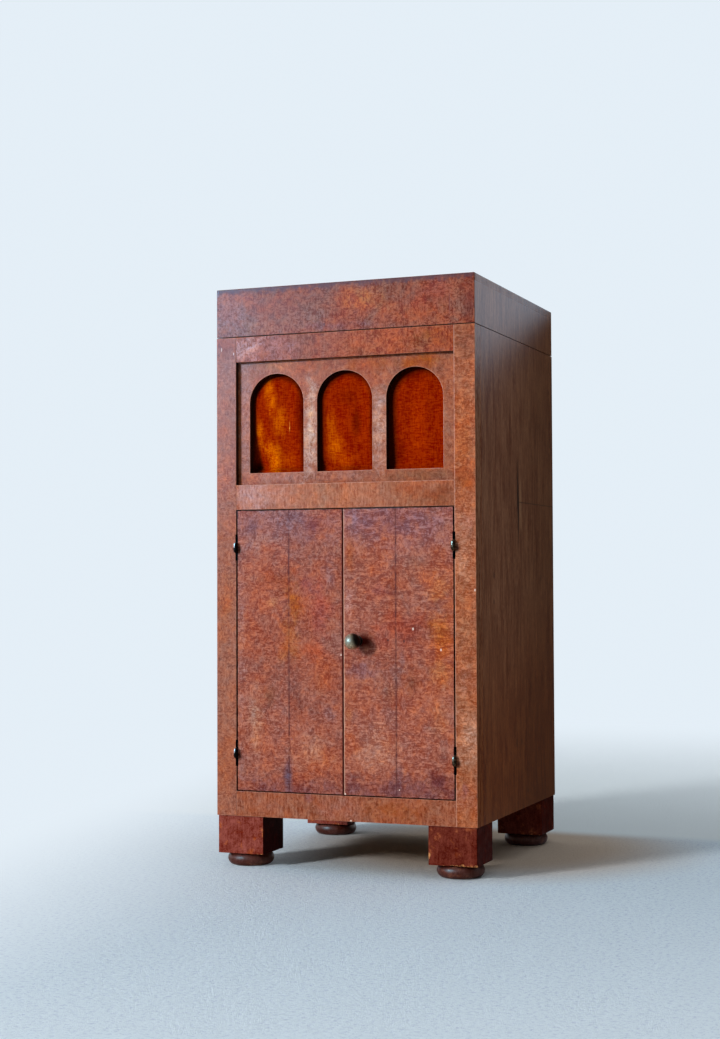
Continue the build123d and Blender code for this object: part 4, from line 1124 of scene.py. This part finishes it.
def knob_brass():
    """Tarnished brass, its colour set where the window's highlight falls to tone that highlight, with
    painted shade on its right, its upper right and its neck.
    """
    paint = Paint("knob_brass")
    clouds = paint.noise(paint.here(), 2.5 * MM, 4.0, 0.6, 0.4)
    colour = paint.mix(clouds.step(0.40, 0.62), KNOB_DARK, KNOB_PALE)
    facing = paint.facing()
    # A painted tone for the window's highlight, where it falls on the upper left.
    highlight_zone = paint.vector("DOT_PRODUCT", facing, KNOB_HIGHLIGHT_AXIS, output=1).step(0.74, 0.97)
    colour = paint.mix(highlight_zone * 0.8, colour, KNOB_HIGHLIGHT_TONE)
    # Painted shade on the right, the upper right and the neck.
    aside, _, above = paint.split(facing)
    shaded_side = (clouds * 0.5 + aside + above * 0.35).step(0.2, 0.95)
    neck = paint.axes()[1].step(KNOB_NECK, KNOB_NECK + 3 * MM)
    colour = paint.mix(shaded_side.over(neck), colour, KNOB_SHADE)
    rough = clouds.step(0.3, 0.7, 0.55, 0.42)
    return paint.surface(colour, rough, paint.bump(clouds, 0.12 * MM, 0.6), {"Metallic": 0.95})


def hinge_brass():
    """Blackened hinges, browner on the right door, with a painted highlight on the upper left of their
    olives and painted shade on their leaves in the gaps.
    """
    paint = Paint("hinge_brass")
    x, _, z = paint.axes()
    clouds = paint.noise(paint.here(), 1.8 * MM, 3.0, 0.6, 0.4)
    on_right = x > 0.0
    brown = paint.mix(clouds.step(0.42, 0.62), OLIVE_DARK, OLIVE_BROWN)
    colour = paint.mix(on_right, OLIVE_BLACK, brown)
    lower, upper = (z - level for level in HINGE_LEVELS)
    above = (z > sum(HINGE_LEVELS) / 2) * (HINGE_LEVELS[0] - HINGE_LEVELS[1]) + lower
    # A painted highlight on the upper left of each olive.
    highlight_spot = above.step(-1 * MM, 1.5 * MM) * paint.split(paint.facing())[0].step(0.0, -0.45)
    colour = paint.mix(highlight_spot, colour, paint.mix(on_right, OLIVE_HIGHLIGHT_LEFT, OLIVE_HIGHLIGHT_RIGHT))
    # Painted shade on the leaves, which show only in the dark gaps.
    leaf = abs(lower).under(abs(upper)).step(OLIVE_HALF, OLIVE_HALF + 0.4 * MM)
    colour = paint.mix(leaf, colour, LEAF_SHADE)
    return paint.surface(colour, 0.25, paint.bump(clouds, 0.03 * MM, 0.4), {"Metallic": 1.0})


dress(knob_brass(), "door_knob", "knob_bush")
dress(hinge_brass(), "door_hinges_left", "door_hinges_right", "frame_hinges")
dress(aged_metal("inner_brass", tone(128, 104, 62), tone(176, 148, 92), 0.38),
      "bolt_keepers", "bolt_plates", "door_bolt_lower", "door_bolt_upper", "latch_tongue",
      "lid_hinge_case_leaves", "lid_hinge_lid_leaves", "lid_stay", "stay_guide")
dress(aged_metal("dull_steel", tone(96, 92, 88), tone(148, 144, 138), 0.42),
      "knob_spindle", "latch_nut", "lid_hinge_pins", *(name for name in nodes if name.endswith("screws")))


# ---- plain wood, plywood and felt
def plain(name, dark, light, along, size=3.5 * MM):
    """Plain waxed wood that runs along one axis."""
    paint = Paint(name)
    colour, height = plain_wood(paint, dark, light, size, along)
    return paint.surface(colour, 0.48, paint.bump(height, 0.2 * MM, 0.5), GLOSS)


def felt():
    """Green felt of the lid's buffers."""
    paint = Paint("felt")
    fibres = paint.noise(paint.here(), 0.8 * MM, 3.0, 0.7, 1.0)
    colour = paint.ramp(fibres, (0.35, tone(34, 52, 34)), (0.65, tone(72, 98, 66)))
    return paint.surface(colour, 0.95, paint.bump(fibres, 0.4 * MM, 0.8), {"Specular IOR Level": 0.1})


dress(plain("board_wood", tone(120, 88, 58), tone(176, 138, 96), "x"),
      "bottom_board", "cupboard_ceiling", "cupboard_shelf", "deck_board", "back_top_rail", "door_stop_strip",
      "velvet_frame")
dress(plain("cleat_wood", tone(110, 80, 52), tone(160, 122, 84), "y"), "deck_cleats", "shelf_cleats")
dress(plain("block_wood", tone(110, 80, 52), tone(160, 122, 84), "z"), "corner_blocks")
dress(plain("back_plywood", tone(112, 78, 50), tone(160, 118, 78), "z", 5 * MM), "back_panel")
dress(plain("stained_wood", tone(84, 46, 30), tone(124, 74, 48), "x"), "lid_back")
dress(felt(), "lid_buffers")
dress(foot_wood("bun_mahogany", tone(76, 39, 33), tone(112, 66, 50), 0.9, NO_FOOT_SIDE_SHADE, *BUN_GLOSS),
      *(f"foot_bun_{end}_{side}" for end in FOOT_ENDS for side in FOOT_SIDES))

feet()
velvet()
lid_board(lid_veneer)


# ---- light
# One soft lamp to the front left and low, and a blue window there that only the polish mirrors.
LIGHT_DISTANCE = 5.5
LAMP_AZIMUTH = 31.0
LAMP_ELEVATION = 17.0
LAMP_SIZE = 0.9
LAMP_LEVEL = 0.80
WINDOW_AZIMUTH = 38.0
WINDOW_ELEVATION = 16.0
WINDOW_SIZE = 2.0
WINDOW_RADIANCE = 40.0
WINDOW_COLOUR = (0.25, 0.68, 1.0)
AMBIENT_LEVEL = 0.10
ZENITH_LEVEL = 0.85
SKY_TINT = (0.90, 0.95, 1.0, 1.0)
BACKDROP = (0.78, 0.86, 0.93, 1.0)


def soft_light(name, azimuth, elevation, size, energy):
    """A square soft light that faces the object from that azimuth left of its front and that elevation."""
    data = bpy.data.lights.new(name, "AREA")
    data.shape = "SQUARE"
    data.size = size
    data.energy = energy
    azimuth, elevation = math.radians(azimuth), math.radians(elevation)
    level = math.cos(elevation)
    towards = Vector((-math.sin(azimuth) * level, -math.cos(azimuth) * level, math.sin(elevation)))
    light = added(name, data)
    light.location = (cad_low + cad_high) / 2 + towards * LIGHT_DISTANCE
    light.rotation_euler = towards.to_track_quat("Z", "Y").to_euler()
    return light


def lamps():
    """The soft lamp that lights the object, and the blue window that only its polish mirrors."""
    energy = LAMP_LEVEL * math.pi ** 2 * LIGHT_DISTANCE ** 2
    lamp = soft_light("lamp", LAMP_AZIMUTH, LAMP_ELEVATION, LAMP_SIZE, energy)
    lamp.visible_glossy = False
    energy = WINDOW_RADIANCE * math.pi * WINDOW_SIZE ** 2
    window = soft_light("window", WINDOW_AZIMUTH, WINDOW_ELEVATION, WINDOW_SIZE, energy)
    window.data.color = WINDOW_COLOUR
    window.visible_diffuse = False


def sky():
    """A pale backdrop, and for the object's light a faint even sky that is brighter overhead."""
    paint = Paint("studio", "worlds")
    bpy.context.scene.world = paint.owner
    shown, mirrored, through = (paint.add("ShaderNodeLightPath", {}, f"Is {ray} Ray")
                                for ray in ("Camera", "Glossy", "Transmission"))
    shown = shown.over(mirrored).over(through)
    above = paint.split(paint.add("ShaderNodeTexCoord", {}, "Generated"))[2].over(0.0)
    level = above * above * ZENITH_LEVEL + AMBIENT_LEVEL
    light = paint.mix(1.0, SKY_TINT, paint.combine(level, level, level), "MULTIPLY")
    colour = paint.mix(shown, light, BACKDROP)
    paint.finish(paint.add("ShaderNodeBackground", {"Color": colour}), "ShaderNodeOutputWorld")


# ---- floor and what the polish mirrors
FLOOR_REACH = 12.0
FLOOR_NEAR = 0.45
FLOOR_FAR = 2.6
FLOOR_BEHIND = (0.88, 0.97, 1.0, 1.0)
WALL_START = 280 * MM
WALL_END = 360 * MM
GRIT_SIZE = 6 * MM
GRIT_DEPTH = 4.0 * MM
GRIT_DARK = tone(176, 196, 226)
GRIT_LIGHT = tone(226, 244, 255)
# The next colour is a painted warm tint of light bounced from the wood into the shadow under the object.
SHADOW_WARMTH = tone(200, 166, 126)
SHADOW_WARMTH_PLACE = (0.13, 0.13, 0.0)
SHADOW_WARMTH_FAR = 0.40
SHADOW_WARMTH_NEAR = 0.16
SHADOW_WARMTH_SHARE = 0.75
UNSEEN_FLOOR = grey(0.55)

# The floor grows bright towards the lamp: its share of X and Y, and where that starts and ends.
LIGHTWARD = (-0.9, -0.15)
BRIGHT_START = 0.05
BRIGHT_END = 0.65

# A card behind the object, given by its ends along X and its top, and a dark room to its right.
CARD_AWAY = 76 * MM
CARD_ENDS = (0.05, 2.2)
CARD_TOP = 2.0
CARD_HEIGHT = 1.065
CARD_SLOPE = 0.678
CARD_BLUR = 0.03
CARD_BRIGHT = (0.86, 1.06, 1.30, 1.0)
CARD_DARK = (0.05, 0.045, 0.04, 1.0)
ROOM_AWAY = 2.6
ROOM_ENDS = (-6.0, 0.0)
ROOM_TOP = 4.0


def set_piece(name, corners, material):
    """A flat four-cornered piece of the studio."""
    mesh = bpy.data.meshes.new(name)
    mesh.from_pydata(corners, [], [(0, 1, 2, 3)])
    mesh.materials.append(material)
    piece = added(name, mesh)
    return piece


def floor():
    """A pale, slightly rough floor that turns into the backdrop behind the object, with a painted warm tint
    of bounced light in the shadow under the object and painted light that grows towards the lamp.
    """
    paint = Paint("floor")
    camera_sees = paint.add("ShaderNodeLightPath", {}, "Is Camera Ray")
    x, y, _ = paint.axes()
    grit = paint.noise(paint.here(), GRIT_SIZE, 6.0, 0.85)
    colour = paint.ramp(grit, (0.34, GRIT_DARK), (0.50, GRIT_LIGHT))
    # Painted warm bounced light in the shadow under the object.
    from_shadow_warmth = paint.vector("DISTANCE", paint.here(), SHADOW_WARMTH_PLACE, output=1)
    colour = paint.mix(from_shadow_warmth.step(SHADOW_WARMTH_FAR, SHADOW_WARMTH_NEAR) * SHADOW_WARMTH_SHARE, colour, SHADOW_WARMTH)
    colour = paint.mix(camera_sees, UNSEEN_FLOOR, colour)
    far = paint.vector("LENGTH", paint.here(), output=1).step(FLOOR_NEAR, FLOOR_FAR)
    bright = (x * LIGHTWARD[0] + y * LIGHTWARD[1]).step(BRIGHT_START, BRIGHT_END)
    behind = y.step(WALL_START, WALL_END)
    colour = paint.mix(behind * camera_sees, colour, FLOOR_BEHIND)
    relief = paint.bump(grit, GRIT_DEPTH, 0.9)
    diffuse = paint.add("ShaderNodeBsdfDiffuse", {"Color": colour, "Normal": relief})
    glow = paint.add("ShaderNodeEmission", {"Color": BACKDROP})
    paint.finish(paint.add("ShaderNodeMixShader", {0: far.over(bright) * camera_sees, 1: diffuse, 2: glow}))
    reach = FLOOR_REACH
    set_piece("floor", [(-reach, -reach, 0), (reach, -reach, 0), (reach, reach, 0), (-reach, reach, 0)],
              paint.owner)


def card(name, start, end, top, paint, colour):
    """An upright card that only polished surfaces mirror, on a line along the floor."""
    paint.finish(paint.add("ShaderNodeEmission", {"Color": colour}))
    piece = set_piece(name, [(*start, 0.0), (*end, 0.0), (*end, top), (*start, top)], paint.owner)
    for ray in ("camera", "diffuse", "transmission", "shadow"):
        setattr(piece, f"visible_{ray}", False)


def reflections():
    """What the polish mirrors: a card behind, bright above a slanting line, and a dark room to the right."""
    paint = Paint("card")
    x, _, z = paint.axes()
    bright = (z - (x * -CARD_SLOPE + CARD_HEIGHT)).step(-CARD_BLUR, CARD_BLUR)
    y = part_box("back_panel")[1].y + CARD_AWAY
    start, end = ((x, y) for x in CARD_ENDS)
    card("card", start, end, CARD_TOP, paint, paint.mix(bright, CARD_DARK, CARD_BRIGHT))
    start, end = ((ROOM_AWAY, y) for y in ROOM_ENDS)
    card("dark_room", start, end, ROOM_TOP, Paint("dark_room"), CARD_DARK)


# ---- camera
CAMERA_PLACE = (0.98960, -2.60635, 0.4381)
CAMERA_RIGHT = (0.928793, 0.370580, -0.003820)
CAMERA_UP = (0.016369, -0.030725, 0.999394)
CAMERA_AHEAD = (-0.370238, 0.928292, 0.034603)
CAMERA_LENS = 60.14


def camera():
    """The camera, where a person who kneels in front of the object and to its right has their eyes."""
    data = bpy.data.cameras.new("camera")
    data.lens = CAMERA_LENS
    piece = added("camera", data)
    turned = Matrix((CAMERA_RIGHT, CAMERA_UP, [-v for v in CAMERA_AHEAD])).transposed()
    piece.matrix_world = Matrix.Translation(CAMERA_PLACE) @ turned.to_4x4()
    bpy.context.scene.camera = piece


lamps()
sky()
floor()
reflections()
camera()
bpy.context.scene.view_settings.view_transform = "Standard"
